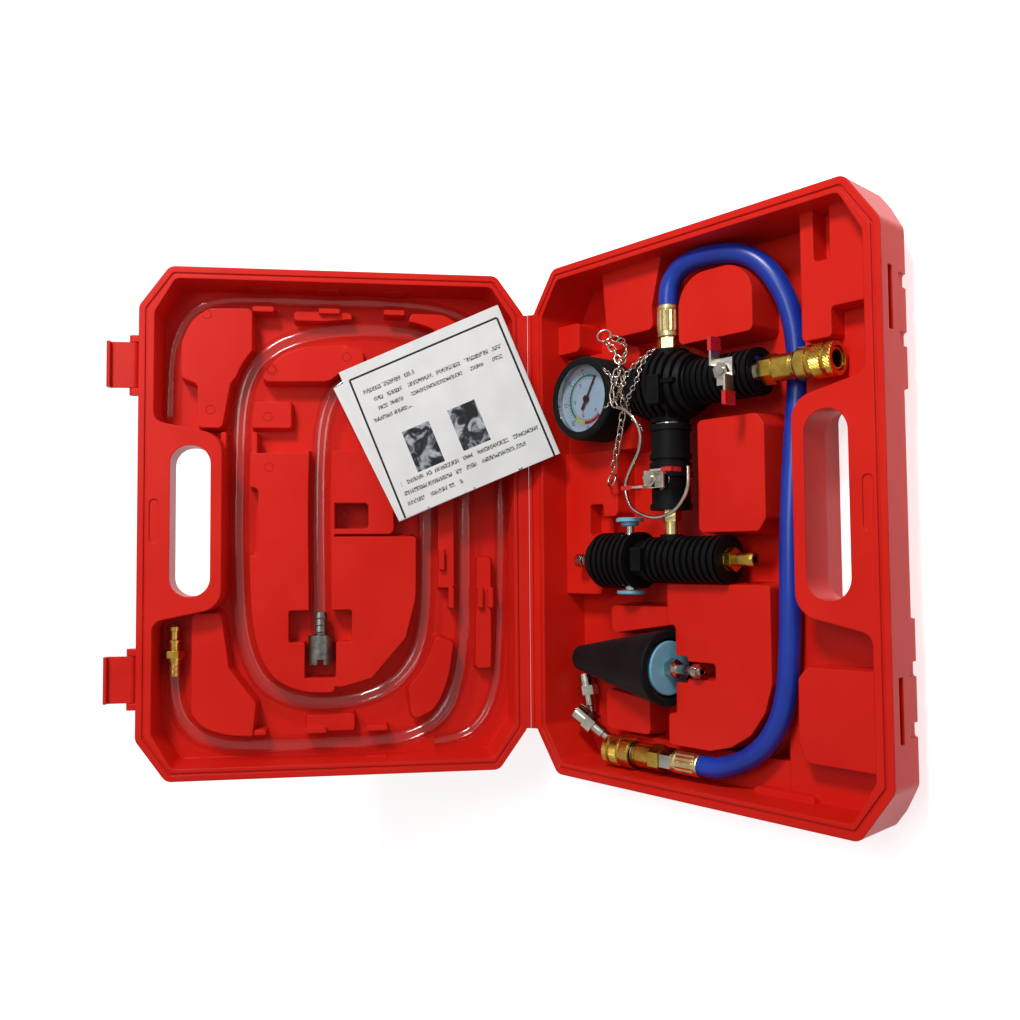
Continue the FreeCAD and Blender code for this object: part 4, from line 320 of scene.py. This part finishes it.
def seat(piece, foot, heading):
    # turns a piece made up along +Z to its heading and puts its foot in place, then applies it
    turned = Vector(heading).to_track_quat("Z", "Y").to_matrix().to_4x4()
    piece.matrix_world = Matrix.Translation(foot) @ turned
    pickOnly([piece])
    bpy.ops.object.transform_apply()


def editFaces(piece, wanted):
    # opens the piece in edit mode with only the wanted faces selected
    bpy.ops.object.mode_set(mode="EDIT")
    bpy.ops.mesh.select_mode(type="FACE")
    bpy.ops.mesh.select_all(action="DESELECT")
    bpy.ops.object.mode_set(mode="OBJECT")
    for face in piece.data.polygons:
        face.select = wanted(face)
    bpy.ops.object.mode_set(mode="EDIT")


def facesUp(face):
    return face.normal.z > 0.99


def smoothLine(name, points):
    # an open curve that keeps near its points and rounds every turn
    data = bpy.data.curves.new(name, "CURVE")
    data.dimensions = "3D"
    line = data.splines.new("NURBS")
    line.points.add(len(points) - 1)
    for knot, point in zip(line.points, points):
        knot.co = (*metres(point), 1)
    line.order_u = 3
    line.use_endpoint_u = True
    piece = bpy.data.objects.new(name, data)
    bpy.context.scene.collection.objects.link(piece)
    return piece


# Hoses

# The lid laid open: cosine and sine of its 57.1 degree lean, the hinge axis across and up in the
# part's frame, and how far outside the lid's edge and above its rim that axis lies
lidTurn = {"along": 0.5432, "rise": 0.8396, "axisAcross": 148.5, "axisHeight": 48.15,
           "axisOutside": 4.5, "axisAbove": 0.15}


def onLid(x, across, height):
    # a point of the lid's own frame: across from the hinge side, height from its rim
    near, deep = across + lidTurn["axisOutside"], height - lidTurn["axisAbove"]
    return (x, lidTurn["axisAcross"] + near * lidTurn["along"] - deep * lidTurn["rise"],
            lidTurn["axisHeight"] + near * lidTurn["rise"] + deep * lidTurn["along"])


blueHose = {
    "radius": 7, "length": 0.465,  # length in metres, as in the next two
    "route": [(144, 21.6, 33), (154.2, 21.6, 33), (163.5, 17.2, 32.7), (170.4, 8.2, 32.2),
              (172.6, -6.2, 31.2), (171.4, -25.5, 29), (165.8, -42, 26.2), (153.6, -54.8, 22.8),
              (136, -63.4, 19.2), (117.5, -67.4, 16.4), (98, -68.4, 15), (80, -68.2, 14.8),
              (63, -67.6, 16.2), (42, -67.8, 20.2), (18, -68.6, 24.4), (-14, -68.4, 27.4),
              (-52, -68.2, 28.4), (-86, -67.2, 28.6), (-112.6, -64.9, 28.8), (-132.8, -59.2, 29),
              (-149.6, -48.2, 29.4), (-161.4, -32.4, 30.2), (-167.6, -15.2, 30.8),
              (-168.5, -7.5, 31), (-168.5, 0.6, 31)],
}
smallHose = {
    "radius": 5, "bed": -24.7, "length": 0.668,
    "route": [(80, 270), (106, 270), (134, 268), (159, 257), (171.5, 236), (172.5, 200),
              (171.8, 150), (172.3, 100), (169, 62), (157, 34), (130, 20), (95, 17.2), (50, 16.8),
              (0, 16.2), (-50, 16.6), (-95, 17.5), (-128, 20.5), (-154, 30), (-169, 47),
              (-171.5, 70)],
}
largeHose = {
    "radius": 7.5, "bed": -22.2, "length": 1.532,
    "endLift": (0, 0.96, 2.4, 2.4),  # its last four points rise to the strainer's barb
    "route": [(-104, 265), (-126, 265), (-147, 260), (-162, 247), (-169, 226), (-170.5, 198),
              (-170.2, 150), (-169.6, 109), (-164.5, 82), (-150, 62), (-126, 51), (-95, 46),
              (-50, 44.8), (0, 44.4), (50, 44.9), (95, 46.5), (124, 54), (142, 70), (149, 95),
              (150, 128), (146, 164), (135, 193), (115, 209.5), (90, 216.5), (50, 217.8),
              (0, 218.2), (-45, 217.6), (-80, 215.5), (-108, 208.5), (-128, 195), (-138.5, 171),
              (-139, 138), (-132, 110), (-116, 90), (-93, 78.5), (-59, 75.2), (-4, 75), (38, 76.5),
              (72, 80.5), (98, 91), (111.5, 111), (111, 132), (99, 148), (74, 155.5), (40, 156.8),
              (-2, 157.2), (-46, 156.5), (-86, 156.5)],
}


def hoseCurve(name, points, radius, material, body):
    piece = smoothLine(name, points)
    piece.data.bevel_depth = radius * mm
    piece.data.bevel_resolution = 8
    piece.data.resolution_u = 12
    piece.data.use_fill_caps = True
    piece.data.materials.append(material)
    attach(piece, body)
    return piece


supplyHose = hoseCurve("supplyHose", blueHose["route"], blueHose["radius"],
                       finish["extrudedPolyurethane"], "unit")
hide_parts("blue_hose")
smallPoints = [onLid(x, across, smallHose["bed"]) for x, across in smallHose["route"]]
coolantHose = hoseCurve("coolantHose", smallPoints, smallHose["radius"], clearPvc, "hose_a")
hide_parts("clear_hose_small")
lifts = [0] * (len(largeHose["route"]) - len(largeHose["endLift"])) + list(largeHose["endLift"])
largePoints = [onLid(x, across, largeHose["bed"] + lift)
               for (x, across), lift in zip(largeHose["route"], lifts)]
refillHose = hoseCurve("refillHose", largePoints, largeHose["radius"], clearPvc, "hose_b")
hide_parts("clear_hose_large")

print("hoses laid")


# Gauge face

dial = {
    "centre": (87.5, 92.6), "height": 41.5, "radius": 26.1, "thickness": 0.6,
    "rim": 0.8, "step": 0.3, "sink": 0.15,  # rolled edge of the card, and the step down inside it
    "start": 31, "sweep": 255, "spare": 0.6,  # degrees; marks at either end keep their full width
    # printed bands: ink, first degree, degrees, radius, half width
    "bands": [("1E8A5C", 0, 167, 17.4, 0.95), ("DDD24A", 167, 35, 17.4, 1.2),
              ("C3202A", 202, 53, 17.4, 1.3), ("31475E", 0, 255, 15.4, 0.16)],
    # scale marks: ink, degrees between them, half width in degrees, radius, half length
    "marks": [("20242A", 8.5, 0.5, 19.3, 0.7), ("20242A", 42.5, 0.8, 19.1, 1.5)],
    "card": ("BFD2DC", "CDDDE5"),  # pale blue, darker and lighter
    # numerals: what they say, radius, size
    "numerals": [(("0", "5", "10", "15", "20", "25", "30"), 22.4, 4.2),
                 (("0", "20", "40", "60", "76"), 12.6, 3.2)],
    "lean": 8.5, "inkDepth": 0.03, "inkSink": 0.1,
}


def printedDial(name, spec):
    # satin aluminium card with screen-printed scale: flat inks, no relief
    material, tree = newMaterial(name)
    where = addNode(tree, "ShaderNodeTexCoord").outputs["Object"]
    middle = (spec["centre"][0] * mm, spec["centre"][1] * mm, 0)
    offset = addNode(tree, "ShaderNodeVectorMath", {"operation": "SUBTRACT", 1: middle}, {0: where})
    split = addNode(tree, "ShaderNodeSeparateXYZ", links={0: offset.outputs[0]})
    flat = addNode(tree, "ShaderNodeCombineXYZ", {"Z": 0.0}, {0: split.outputs[0], 1: split.outputs[1]})
    reach = addNode(tree, "ShaderNodeVectorMath", {"operation": "LENGTH"}, {0: flat.outputs[0]})
    sums = {"across": split.outputs[0], "along": split.outputs[1], "reach": reach.outputs["Value"]}
    # each step: result, operation, and values that are numbers or earlier results
    steps = [("out", "MULTIPLY", "reach", 1 / mm), ("bearing", "ARCTAN2", "along", "across"),
             ("degrees", "MULTIPLY_ADD", "bearing", 180 / math.pi, spec["start"]),
             ("turn", "FLOORED_MODULO", "degrees", 360),
             ("within", "COMPARE", "turn", spec["sweep"] / 2, spec["sweep"] / 2 + spec["spare"])]
    inks = []
    for ink, begin, sweep, radius, half in spec["bands"]:
        steps += [("ring", "COMPARE", "out", radius, half),
                  ("sector", "COMPARE", "turn", begin + sweep / 2, sweep / 2),
                  (len(inks), "MULTIPLY", "ring", "sector")]
        inks.append(ink)
    for ink, apart, half, radius, length in spec["marks"]:
        steps += [("away", "PINGPONG", "turn", apart / 2), ("near", "LESS_THAN", "away", half),
                  ("ring", "COMPARE", "out", radius, length), ("mark", "MULTIPLY", "ring", "near"),
                  (len(inks), "MULTIPLY", "mark", "within")]
        inks.append(ink)
    for result, operation, *values in steps:
        settings = {i: float(v) for i, v in enumerate(values) if not isinstance(v, str)}
        links = {i: sums[v] for i, v in enumerate(values) if isinstance(v, str)}
        made = addNode(tree, "ShaderNodeMath", {"operation": operation, **settings}, links)
        sums[result] = made.outputs[0]
    tone = addNode(tree, "ShaderNodeTexNoise", {"Scale": 60.0, "Detail": 2.0}, {"Vector": where})
    shade = addNode(tree, "ShaderNodeValToRGB", {"stops": softStops(*spec["card"])},
                    {0: tone.outputs["Fac"]}).outputs[0]
    for index, ink in enumerate(inks):
        shade = addNode(tree, "ShaderNodeMix", {"data_type": "RGBA", 7: toLinear(ink)},
                        {0: sums[index], 6: shade}).outputs[2]
    shader = addNode(tree, "ShaderNodeBsdfPrincipled", {"Roughness": 0.42}, {"Base Color": shade})
    addNode(tree, "ShaderNodeOutputMaterial", links={"Surface": shader.outputs[0]})
    return material


bpy.ops.mesh.primitive_cylinder_add(
    vertices=96, radius=dial["radius"] * mm, depth=dial["thickness"] * mm,
    location=metres((*dial["centre"], dial["height"] + dial["thickness"] / 2)))
dialCard = bpy.context.object
dialCard.name = "dialCard"
editFaces(dialCard, facesUp)
bpy.ops.mesh.inset(thickness=dial["rim"] * mm, depth=0)
bpy.ops.mesh.inset(thickness=dial["step"] * mm, depth=-dial["sink"] * mm)
bpy.ops.object.mode_set(mode="OBJECT")
bpy.ops.object.transform_apply()
dress(dialCard, printedDial("screenPrintedAluminium", dial))
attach(dialCard, "unit")
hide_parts("gauge_dial")


def addNumeral(word, angle, reach, size):
    # flat letters with a hair of ink thickness
    data = bpy.data.curves.new("numeral", "FONT")
    data.body = word
    data.size = size * mm
    data.extrude = dial["inkDepth"] * mm
    data.align_x, data.align_y = "CENTER", "CENTER"
    letter = bpy.data.objects.new("numeral", data)
    bpy.context.scene.collection.objects.link(letter)
    pickOnly([letter])
    bpy.ops.object.convert(target="MESH")
    letter = bpy.context.object
    letter.location = metres((dial["centre"][0] + reach * math.cos(angle),
                              dial["centre"][1] + reach * math.sin(angle),
                              dial["height"] + dial["thickness"] - dial["inkSink"]))
    letter.rotation_euler = (0, 0, math.radians(dial["lean"]))
    bpy.ops.object.transform_apply()
    return letter


numerals = []
for words, reach, size in dial["numerals"]:
    for index, word in enumerate(words):
        angle = math.radians(dial["sweep"] * index / (len(words) - 1) - dial["start"])
        numerals.append(addNumeral(word, angle, reach, size))
dialNumerals = joinPieces("dialNumerals", numerals)
# screen ink: dark blue-black, satin
dress(dialNumerals, mouldedSurface("screenInk", {
    "dark": "1B2B3C", "light": "24384C", "patch": 3, "grain": 0.3, "height": 0.002,
    "rough": (0.35, 0.45), "sockets": {}}))
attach(dialNumerals, "unit")
print("gauge face printed")


# Knurled coupler sleeves and crimped ferrules

def ringStack(name, rings, sides):
    # one ring pulled up and scaled again and again, as on a lathe; the last ring meets the first
    bpy.ops.object.select_all(action="DESELECT")
    radius, height = rings[0]
    bpy.ops.mesh.primitive_circle_add(vertices=sides, radius=radius * mm, location=(0, 0, 0))
    piece = bpy.context.object
    piece.name = name
    bpy.ops.object.mode_set(mode="EDIT")
    bpy.ops.mesh.select_all(action="SELECT")
    bpy.ops.transform.translate(value=(0, 0, height * mm))
    for nextRadius, nextHeight in rings[1:]:
        bpy.ops.mesh.extrude_edges_move(
            TRANSFORM_OT_translate={"value": (0, 0, (nextHeight - height) * mm)})
        bpy.ops.transform.resize(value=(nextRadius / radius, nextRadius / radius, 1),
                                 center_override=(0, 0, nextHeight * mm))
        radius, height = nextRadius, nextHeight
    bpy.ops.mesh.select_all(action="SELECT")
    bpy.ops.mesh.remove_doubles(threshold=1e-6)
    bpy.ops.mesh.normals_make_consistent(inside=False)
    bpy.ops.object.mode_set(mode="OBJECT")
    return piece


def sinkPoints(piece, wanted, factor):
    # draws the chosen points in towards the turning axis
    bpy.ops.object.mode_set(mode="EDIT")
    bpy.ops.mesh.select_mode(type="VERT")
    bpy.ops.mesh.select_all(action="DESELECT")
    bpy.ops.object.mode_set(mode="OBJECT")
    for vertex in piece.data.vertices:
        vertex.select = wanted(vertex.co)
    bpy.ops.object.mode_set(mode="EDIT")
    bpy.ops.transform.resize(value=(factor, factor, 1), center_override=(0, 0, 0))
    bpy.ops.object.mode_set(mode="OBJECT")


def sideOf(co, sides):
    return round(math.atan2(co.y, co.x) / (2 * math.pi) * sides)


sleeve = {
    "radius": 10.85, "barrel": 7.65, "collar": 8.9, "length": 25, "springStep": 12,
    "skim": 0.1, "groove": 1.2, "slope": 0.6, "nose": 7, "tail": 0.7,
    "bands": ((11.0, 17.6), (20.6, 24.2)),  # the two knurled bands
    "sides": 64, "row": 1.06, "valley": 0.955,
    "at": {"coupler_right_sleeve": ((87.5, -82.6, 33), (0, -1, 0), "sleeve_a"),
           "coupler_lower_sleeve": ((-168.5, 59.0, 31), (0, 1, 0), "sleeve_b")},
}


def knurlHeights(spec, band):
    low, high = band
    rows = round((high - low) / spec["row"])
    return [low + (high - low) * index / rows for index in range(rows + 1)]


def sleeveRings(spec):
    # up the outside from the mouth: nose, groove, knurled band, groove, knurled band; then down
    # the barrel to the step that the spring bears on
    big, slope = spec["radius"], spec["slope"]
    skin, groove = big - spec["skim"], big - spec["groove"]
    first, last = spec["bands"]
    rings = [(spec["collar"], 0), (big - slope, 0), (skin, slope), (skin, spec["nose"]),
             (groove, spec["nose"] + slope), (groove, first[0] - slope)]
    rings += [(big, height) for height in knurlHeights(spec, first)]
    rings += [(groove, first[1] + slope), (groove, last[0] - slope)]
    rings += [(big, height) for height in knurlHeights(spec, last)]
    rings += [(big - spec["tail"], spec["length"]), (spec["barrel"], spec["length"]),
              (spec["barrel"], spec["springStep"]), (spec["collar"], spec["springStep"]),
              (spec["collar"], 0)]
    return rings


def inKnurlValley(co):
    # every other point of a row, and the ones between in the next row
    if math.hypot(co.x, co.y) / mm < sleeve["radius"] - sleeve["skim"] / 2:
        return False
    heights = [height for band in sleeve["bands"] for height in knurlHeights(sleeve, band)]
    row = min(range(len(heights)), key=lambda i: abs(heights[i] - co.z / mm))
    return (sideOf(co, sleeve["sides"]) + row) % 2 == 0


for node, (foot, heading, body) in sleeve["at"].items():
    knurled = ringStack("knurled_" + node, sleeveRings(sleeve), sleeve["sides"])
    sinkPoints(knurled, inKnurlValley, sleeve["valley"])
    seat(knurled, metres(foot), heading)
    dress(knurled, finish["machinedBrass"])
    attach(knurled, body)
    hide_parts(node)

ferrule = {
    "radius": 8, "skin": 0.1, "sides": 32, "crimped": (4, 18.2), "valley": 0.93,
    # turned outline, radius and height: from the neck up the outside and back down the bore
    "outline": [(7.1, 0), (7.7, 0), (8, 0.5), (8, 3), (7.5, 3.6), (8, 4.4), (8, 18), (7.5, 18.6),
                (8, 19.4), (8, 21.4), (7.7, 22), (7.1, 22), (7.1, 0)],
    "at": {"ferruleUpper": ((122, 21.6, 33), (1, 0, 0)),
           "ferruleLower": ((-168.5, 22.6, 31), (0, -1, 0))},
}


def inCrimp(co):
    low, high = ferrule["crimped"]
    outside = math.hypot(co.x, co.y) / mm > ferrule["radius"] - ferrule["skin"]
    return low < co.z / mm < high and outside and sideOf(co, ferrule["sides"]) % 2 == 0


for name, (foot, heading) in ferrule["at"].items():
    crimped = ringStack(name, ferrule["outline"], ferrule["sides"])
    sinkPoints(crimped, inCrimp, ferrule["valley"])
    seat(crimped, metres(foot), heading)
    dress(crimped, finish["yellowPassivate"])
    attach(crimped, "unit")
    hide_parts("hose_ferrules")
print("sleeves knurled and ferrules crimped")


# Vent marks that the mould leaves on the lid's blocks: a low ring round each vent plug

ventMark = {
    "radius": 3.3, "rise": 0.24,
    # places on the lid: along, across, height
    "at": [(157.6, 241.6, -14), (84.7, 238.5, -14), (117.1, 194, -14), (127.1, 136.8, -14),
           (41.3, 195.1, -14), (5.4, 138.7, -33.6), (80.8, 196.7, -20)],
}
rings = []
for x, across, height in ventMark["at"]:
    bpy.ops.mesh.primitive_torus_add(
        major_radius=ventMark["radius"] * mm, minor_radius=ventMark["rise"] * mm,
        major_segments=40, minor_segments=8, location=(0, 0, 0))
    rings.append(bpy.context.object)
    foot = metres(onLid(x, across, height))
    seat(rings[-1], foot, metres(onLid(x, across, height + 1)) - foot)
ventMarks = joinPieces("ventMarks", rings)
bpy.ops.object.shade_smooth_by_angle(angle=math.radians(60))
dress(ventMarks, finish["blowMouldedHdpe"])
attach(ventMarks, "lid")
print("vent marks raised")


# Slack of the chain, heaped between the gauge boot and the block

chainSlack = {
    "ring": 1.55, "wire": 0.42, "stretch": 1.3, "pitch": 3.5,
    "rolls": (40, 120),  # degrees about the chain's line, link by link
    "routes": [
        [(111.5, 22, 48.8), (106, 29, 53), (101, 35.5, 55.2), (96.5, 40.5, 56.2), (92, 41.5, 57.4),
         (88, 41, 58.9), (86, 46, 56.4), (84.5, 52, 52), (82, 58, 48.4), (79.5, 63.5, 48),
         (77, 68.5, 50.6)],
        [(106, 24, 54), (100.4, 27.4, 57), (96, 26, 59), (91.7, 26.8, 59.8), (87.5, 30.5, 59.2),
         (84, 34, 58.4), (80, 38, 57.2), (76, 43, 53.6), (72, 45.5, 49), (67.5, 43, 47),
         (62, 38.5, 47.2), (56.5, 33.6, 47.6)],
        [(104, 66, 50.8), (99.5, 60.5, 51), (94, 56, 50), (89.5, 51.5, 51.5), (84, 47.5, 54.4),
         (79.5, 42.5, 57)],
    ],
}
bpy.ops.object.select_all(action="DESELECT")
bpy.ops.mesh.primitive_torus_add(
    major_radius=chainSlack["ring"] * mm, minor_radius=chainSlack["wire"] * mm,
    major_segments=12, minor_segments=6, location=(0, 0, 0))
firstLink = bpy.context.object
firstLink.scale.x = chainSlack["stretch"]
bpy.ops.object.transform_apply()
chainLinks = []
for route in chainSlack["routes"]:
    guide = smoothLine("chainLine", route)
    dots = [v.co.copy() for v in bpy.data.meshes.new_from_object(guide).vertices]
    bpy.data.objects.remove(guide)
    walked, due, count = 0, 0, 0
    for start, end in zip(dots, dots[1:]):
        step = (end - start).length
        while due <= walked + step:
            link = firstLink.copy()
            link.data = firstLink.data.copy()
            bpy.context.scene.collection.objects.link(link)
            heading = (end - start).normalized().to_track_quat("X", "Z").to_matrix().to_4x4()
            roll = Matrix.Rotation(math.radians(chainSlack["rolls"][count % 2]), 4, "X")
            place = start.lerp(end, (due - walked) / step)
            link.matrix_world = Matrix.Translation(place) @ heading @ roll
            chainLinks.append(link)
            due += chainSlack["pitch"] * mm
            count += 1
        walked += step
bpy.data.objects.remove(firstLink)
slackChain = joinPieces("slackChain", chainLinks)
bpy.ops.object.transform_apply()
bpy.ops.object.shade_smooth_by_angle(angle=math.radians(60))
dress(slackChain, finish["nickelPlate"])
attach(slackChain, "unit")
print("chain heaped:", len(chainLinks), "links")


# Raised pads on the covers, each with a shallow field in its top

coverPads = {  # middle, size along x, y and z
    "barrelPad": ((82.5, 15.5, 55.2), (20, 11, 8)),
    "venturiPad": ((-31, 38, 49.4), (16, 9, 8)),
}
padTop = {"round": 0.8, "border": 1.2, "slope": 0.2, "sink": 0.25}
for name, (middle, size) in coverPads.items():
    bpy.ops.object.select_all(action="DESELECT")
    bpy.ops.mesh.primitive_cube_add(size=1, location=metres(middle))
    pad = bpy.context.object
    pad.name = name
    pad.scale = metres(size)
    bpy.ops.object.transform_apply()
    bpy.ops.object.mode_set(mode="EDIT")
    bpy.ops.mesh.select_all(action="SELECT")
    bpy.ops.mesh.bevel(offset=padTop["round"] * mm, segments=3)
    bpy.ops.object.mode_set(mode="OBJECT")
    editFaces(pad, facesUp)
    bpy.ops.mesh.inset(thickness=padTop["border"] * mm, depth=0)
    bpy.ops.mesh.inset(thickness=padTop["slope"] * mm, depth=-padTop["sink"] * mm)
    bpy.ops.object.mode_set(mode="OBJECT")
    dress(pad, finish["blackNylonCover"])
    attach(pad, "unit")
print("cover pads raised")


# Folded leaflet

leaf = {
    "wide": 132.5, "tall": 124, "shift": -5, "thickness": 0.22, "columns": 80, "rows": 40,
    # where its top edge starts on the lid, which way that edge runs, and its lean in degrees
    "edge": (116.5, 138, -13.7), "slant": (45, -109), "tilt": 11.5,
    # the fold as shares of the sheet's length and how far it bulges, then the pages' heights
    "fold": (0.49, 0.51), "bulge": (0.5, 0.3), "front": 0.75, "frontRise": 0.6, "back": 0.42,
    # curl of the front page and its ripples, and how far the back page has slipped
    "curl": 0.56, "ripples": 2.2, "slipIn": 8.5, "slipDown": (0.6, 9),
    # print: left, right, top, bottom of each block of lines
    "lines": [(11.2, 54, 20.4, 24), (17, 124, 28.6, 32), (16, 121.5, 36.2, 39.4),
              (11.3, 43.8, 44, 47.2), (12, 126, 97.4, 100.8), (11.5, 112, 105, 108.4),
              (11.3, 56.8, 113, 116.4), (24, 28.2, 122.6, 124), (60.8, 63.8, 122.6, 124),
              (99.4, 102.9, 122.6, 124)],
    "pictures": [(27.6, 50.1, 62, 95.4), (66.2, 88.7, 60.4, 94)],
    "frame": (5.4, 128.6, 9, 130), "frameWidth": 1.6,
    "paper": ("DCDCDA", "E8E8E6"), "toner": "15161A",
    # tones of the two picture patches
    "greys": [(0.4, "14161A"), (0.5, "2E3136"), (0.56, "7D8187"), (0.66, "B4B8BC")],
    # noise steps per metre along the line and down the page: words about 6 mm long, made of
    # strokes 0.9 mm wide; then the noise where a word starts, and each stroke's gain and limits
    "wordScale": (170.0, 40.0, 1.0), "strokeScale": (1150.0, 620.0, 1.0),
    "wordFrom": 0.4, "strokeGain": (5, -1.9), "faintest": 0.1, "darkest": 0.85,
}
leafTilt = math.radians(leaf["tilt"])
slantX, slantY = leaf["slant"]
leafAcross = Vector((slantX, slantY, -slantY * math.tan(leafTilt))).normalized()
leafUp = Vector((0, math.sin(leafTilt), math.cos(leafTilt)))
leafAlong = leafUp.cross(leafAcross)


def onLeaf(right, down, up):
    place = (Vector(leaf["edge"]) + leafAcross * (right + leaf["shift"]) - leafAlong * down
             + leafUp * up)
    return metres(onLid(*place))


def leafPoint(s, t):
    # s runs over the front page, round the fold at its right and back under it; t runs down
    wide, down = leaf["wide"], t * leaf["tall"]
    foldFrom, foldTo = leaf["fold"]
    if s < foldFrom:
        share = s / foldFrom
        wave = (math.sin(math.pi * t) + math.sin(leaf["ripples"] * math.pi * s)) / 2
        return onLeaf(wide * share, down,
                      leaf["front"] + (leaf["frontRise"] + leaf["curl"] * wave) * share)
    if s < foldTo:
        turn = math.pi * (s - foldFrom) / (foldTo - foldFrom)
        out, up = leaf["bulge"]
        return onLeaf(wide + out * math.sin(turn), down, leaf["front"] + up * math.cos(turn))
    # the back page has slipped round the lower corner and shows at the left: slip grows leftwards
    slip = (s - foldTo) / (1 - foldTo)
    least, moreAtTop = leaf["slipDown"]
    return onLeaf(wide * (1 - slip) - leaf["slipIn"] * slip * (1 - t),
                  down + (least + moreAtTop * (1 - t)) * slip, leaf["back"])


def printedPaper(name, spec):
    # uncoated office paper with toner print: matt, faintly grey, a little creased
    material, tree = newMaterial(name)
    page = addNode(tree, "ShaderNodeUVMap", {"uv_map": "page"}).outputs[0]
    split = addNode(tree, "ShaderNodeSeparateXYZ", links={0: page})
    sums = {"x": split.outputs[0], "y": split.outputs[1]}
    # a coarse noise along the line leaves gaps as between words, a fine one breaks them into strokes
    for result in ("word", "stroke"):
        scaled = addNode(tree, "ShaderNodeMapping", {"Scale": spec[result + "Scale"]}, {0: page})
        noise = addNode(tree, "ShaderNodeTexNoise", {"Scale": 1.0, "Detail": 0.0},
                        {"Vector": scaled.outputs[0]})
        sums[result + "Noise"] = noise.outputs["Fac"]
    left, far, top, bottom = spec["frame"]
    half = spec["frameWidth"] / 2
    rules = [(left - half, left + half, top, bottom), (far - half, far + half, top, bottom),
             (left, far, top - half, top + half)]
    # each step: result, operation, and values that are numbers or earlier results
    steps = [("right", "MULTIPLY", "x", 1 / mm), ("down", "MULTIPLY", "y", 1 / mm),
             ("lines", "MULTIPLY", "x", 0), ("rules", "MULTIPLY", "x", 0)]
    groups = [("lines", block) for block in spec["lines"]] + [("rules", block) for block in rules]
    groups += [(index, block) for index, block in enumerate(spec["pictures"])]
    for group, (left, far, top, bottom) in groups:
        steps += [("beside", "COMPARE", "right", (left + far) / 2, (far - left) / 2),
                  ("level", "COMPARE", "down", (top + bottom) / 2, (bottom - top) / 2),
                  ("block", "MULTIPLY", "beside", "level")]
        if isinstance(group, str):
            steps.append((group, "MAXIMUM", group, "block"))
        else:
            steps.append((group, "MULTIPLY", "block", 1))
    steps += [("word", "GREATER_THAN", "wordNoise", spec["wordFrom"]),
              ("stroke", "MULTIPLY_ADD", "strokeNoise", *spec["strokeGain"]),
              ("stroke", "MINIMUM", "stroke", spec["darkest"]),
              ("stroke", "MAXIMUM", "stroke", spec["faintest"]),
              ("inked", "MULTIPLY", "word", "stroke"), ("ink", "MULTIPLY", "lines", "inked")]
    for result, operation, *values in steps:
        settings = {i: float(v) for i, v in enumerate(values) if not isinstance(v, str)}
        links = {i: sums[v] for i, v in enumerate(values) if isinstance(v, str)}
        made = addNode(tree, "ShaderNodeMath", {"operation": operation, **settings}, links)
        sums[result] = made.outputs[0]
    tone = addNode(tree, "ShaderNodeTexNoise", {"Scale": 35.0, "Detail": 3.0}, {"Vector": page})
    shade = addNode(tree, "ShaderNodeValToRGB", {"stops": softStops(*spec["paper"])},
                    {0: tone.outputs["Fac"]}).outputs[0]
    blotches = addNode(tree, "ShaderNodeTexNoise", {"Scale": 85.0, "Detail": 4.0, "Distortion": 1.2},
                       {"Vector": page})
    greys = addNode(tree, "ShaderNodeValToRGB", {"stops": spec["greys"]},
                    {0: blotches.outputs["Fac"]}).outputs[0]
    for index in range(len(spec["pictures"])):
        shade = addNode(tree, "ShaderNodeMix", {"data_type": "RGBA"},
                        {0: sums[index], 6: shade, 7: greys}).outputs[2]
    for mask in ("ink", "rules"):
        shade = addNode(tree, "ShaderNodeMix", {"data_type": "RGBA", 7: toLinear(spec["toner"])},
                        {0: sums[mask], 6: shade}).outputs[2]
    creases = addNode(tree, "ShaderNodeTexNoise", {"Scale": 25.0, "Detail": 2.0, "Distortion": 0.6},
                      {"Vector": page})
    relief = addNode(tree, "ShaderNodeBump", {"Strength": 0.35, "Distance": 0.4 * mm},
                     {"Height": creases.outputs["Fac"]})
    shader = addNode(tree, "ShaderNodeBsdfPrincipled", {"Roughness": 0.82, "IOR": 1.45},
                     {"Base Color": shade, "Normal": relief.outputs[0]})
    addNode(tree, "ShaderNodeOutputMaterial", links={"Surface": shader.outputs[0]})
    return material


bpy.ops.object.select_all(action="DESELECT")
bpy.ops.mesh.primitive_grid_add(x_subdivisions=leaf["columns"], y_subdivisions=leaf["rows"], size=2)
leafletSheet = bpy.context.object
leafletSheet.name = "leafletSheet"
pageMap = leafletSheet.data.uv_layers[0]
pageMap.name = "page"
for loop in leafletSheet.data.loops:
    corner = leafletSheet.data.vertices[loop.vertex_index].co
    s, t = (corner.x + 1) / 2, (1 - corner.y) / 2
    # in metres on the front page; the back page keeps a place off the print
    across = s / leaf["fold"][0] * leaf["wide"] * mm if s < 0.5 else 0.5 + s
    pageMap.data[loop.index].uv = (across, t * leaf["tall"] * mm)
for vertex in leafletSheet.data.vertices:
    vertex.co = leafPoint((vertex.co.x + 1) / 2, (1 - vertex.co.y) / 2)
paperWall = leafletSheet.modifiers.new("thickness", "SOLIDIFY")
paperWall.thickness = leaf["thickness"] * mm
paperWall.offset = 0
bpy.ops.object.modifier_apply(modifier=paperWall.name)
bpy.ops.object.mode_set(mode="EDIT")
bpy.ops.mesh.select_all(action="SELECT")
bpy.ops.mesh.normals_make_consistent(inside=False)
bpy.ops.object.mode_set(mode="OBJECT")
bpy.ops.object.shade_smooth_by_angle(angle=math.radians(40))
dress(leafletSheet, printedPaper("laserPrintedPaper", leaf))
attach(leafletSheet, "booklet")
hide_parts("leaflet")
print("leaflet folded")
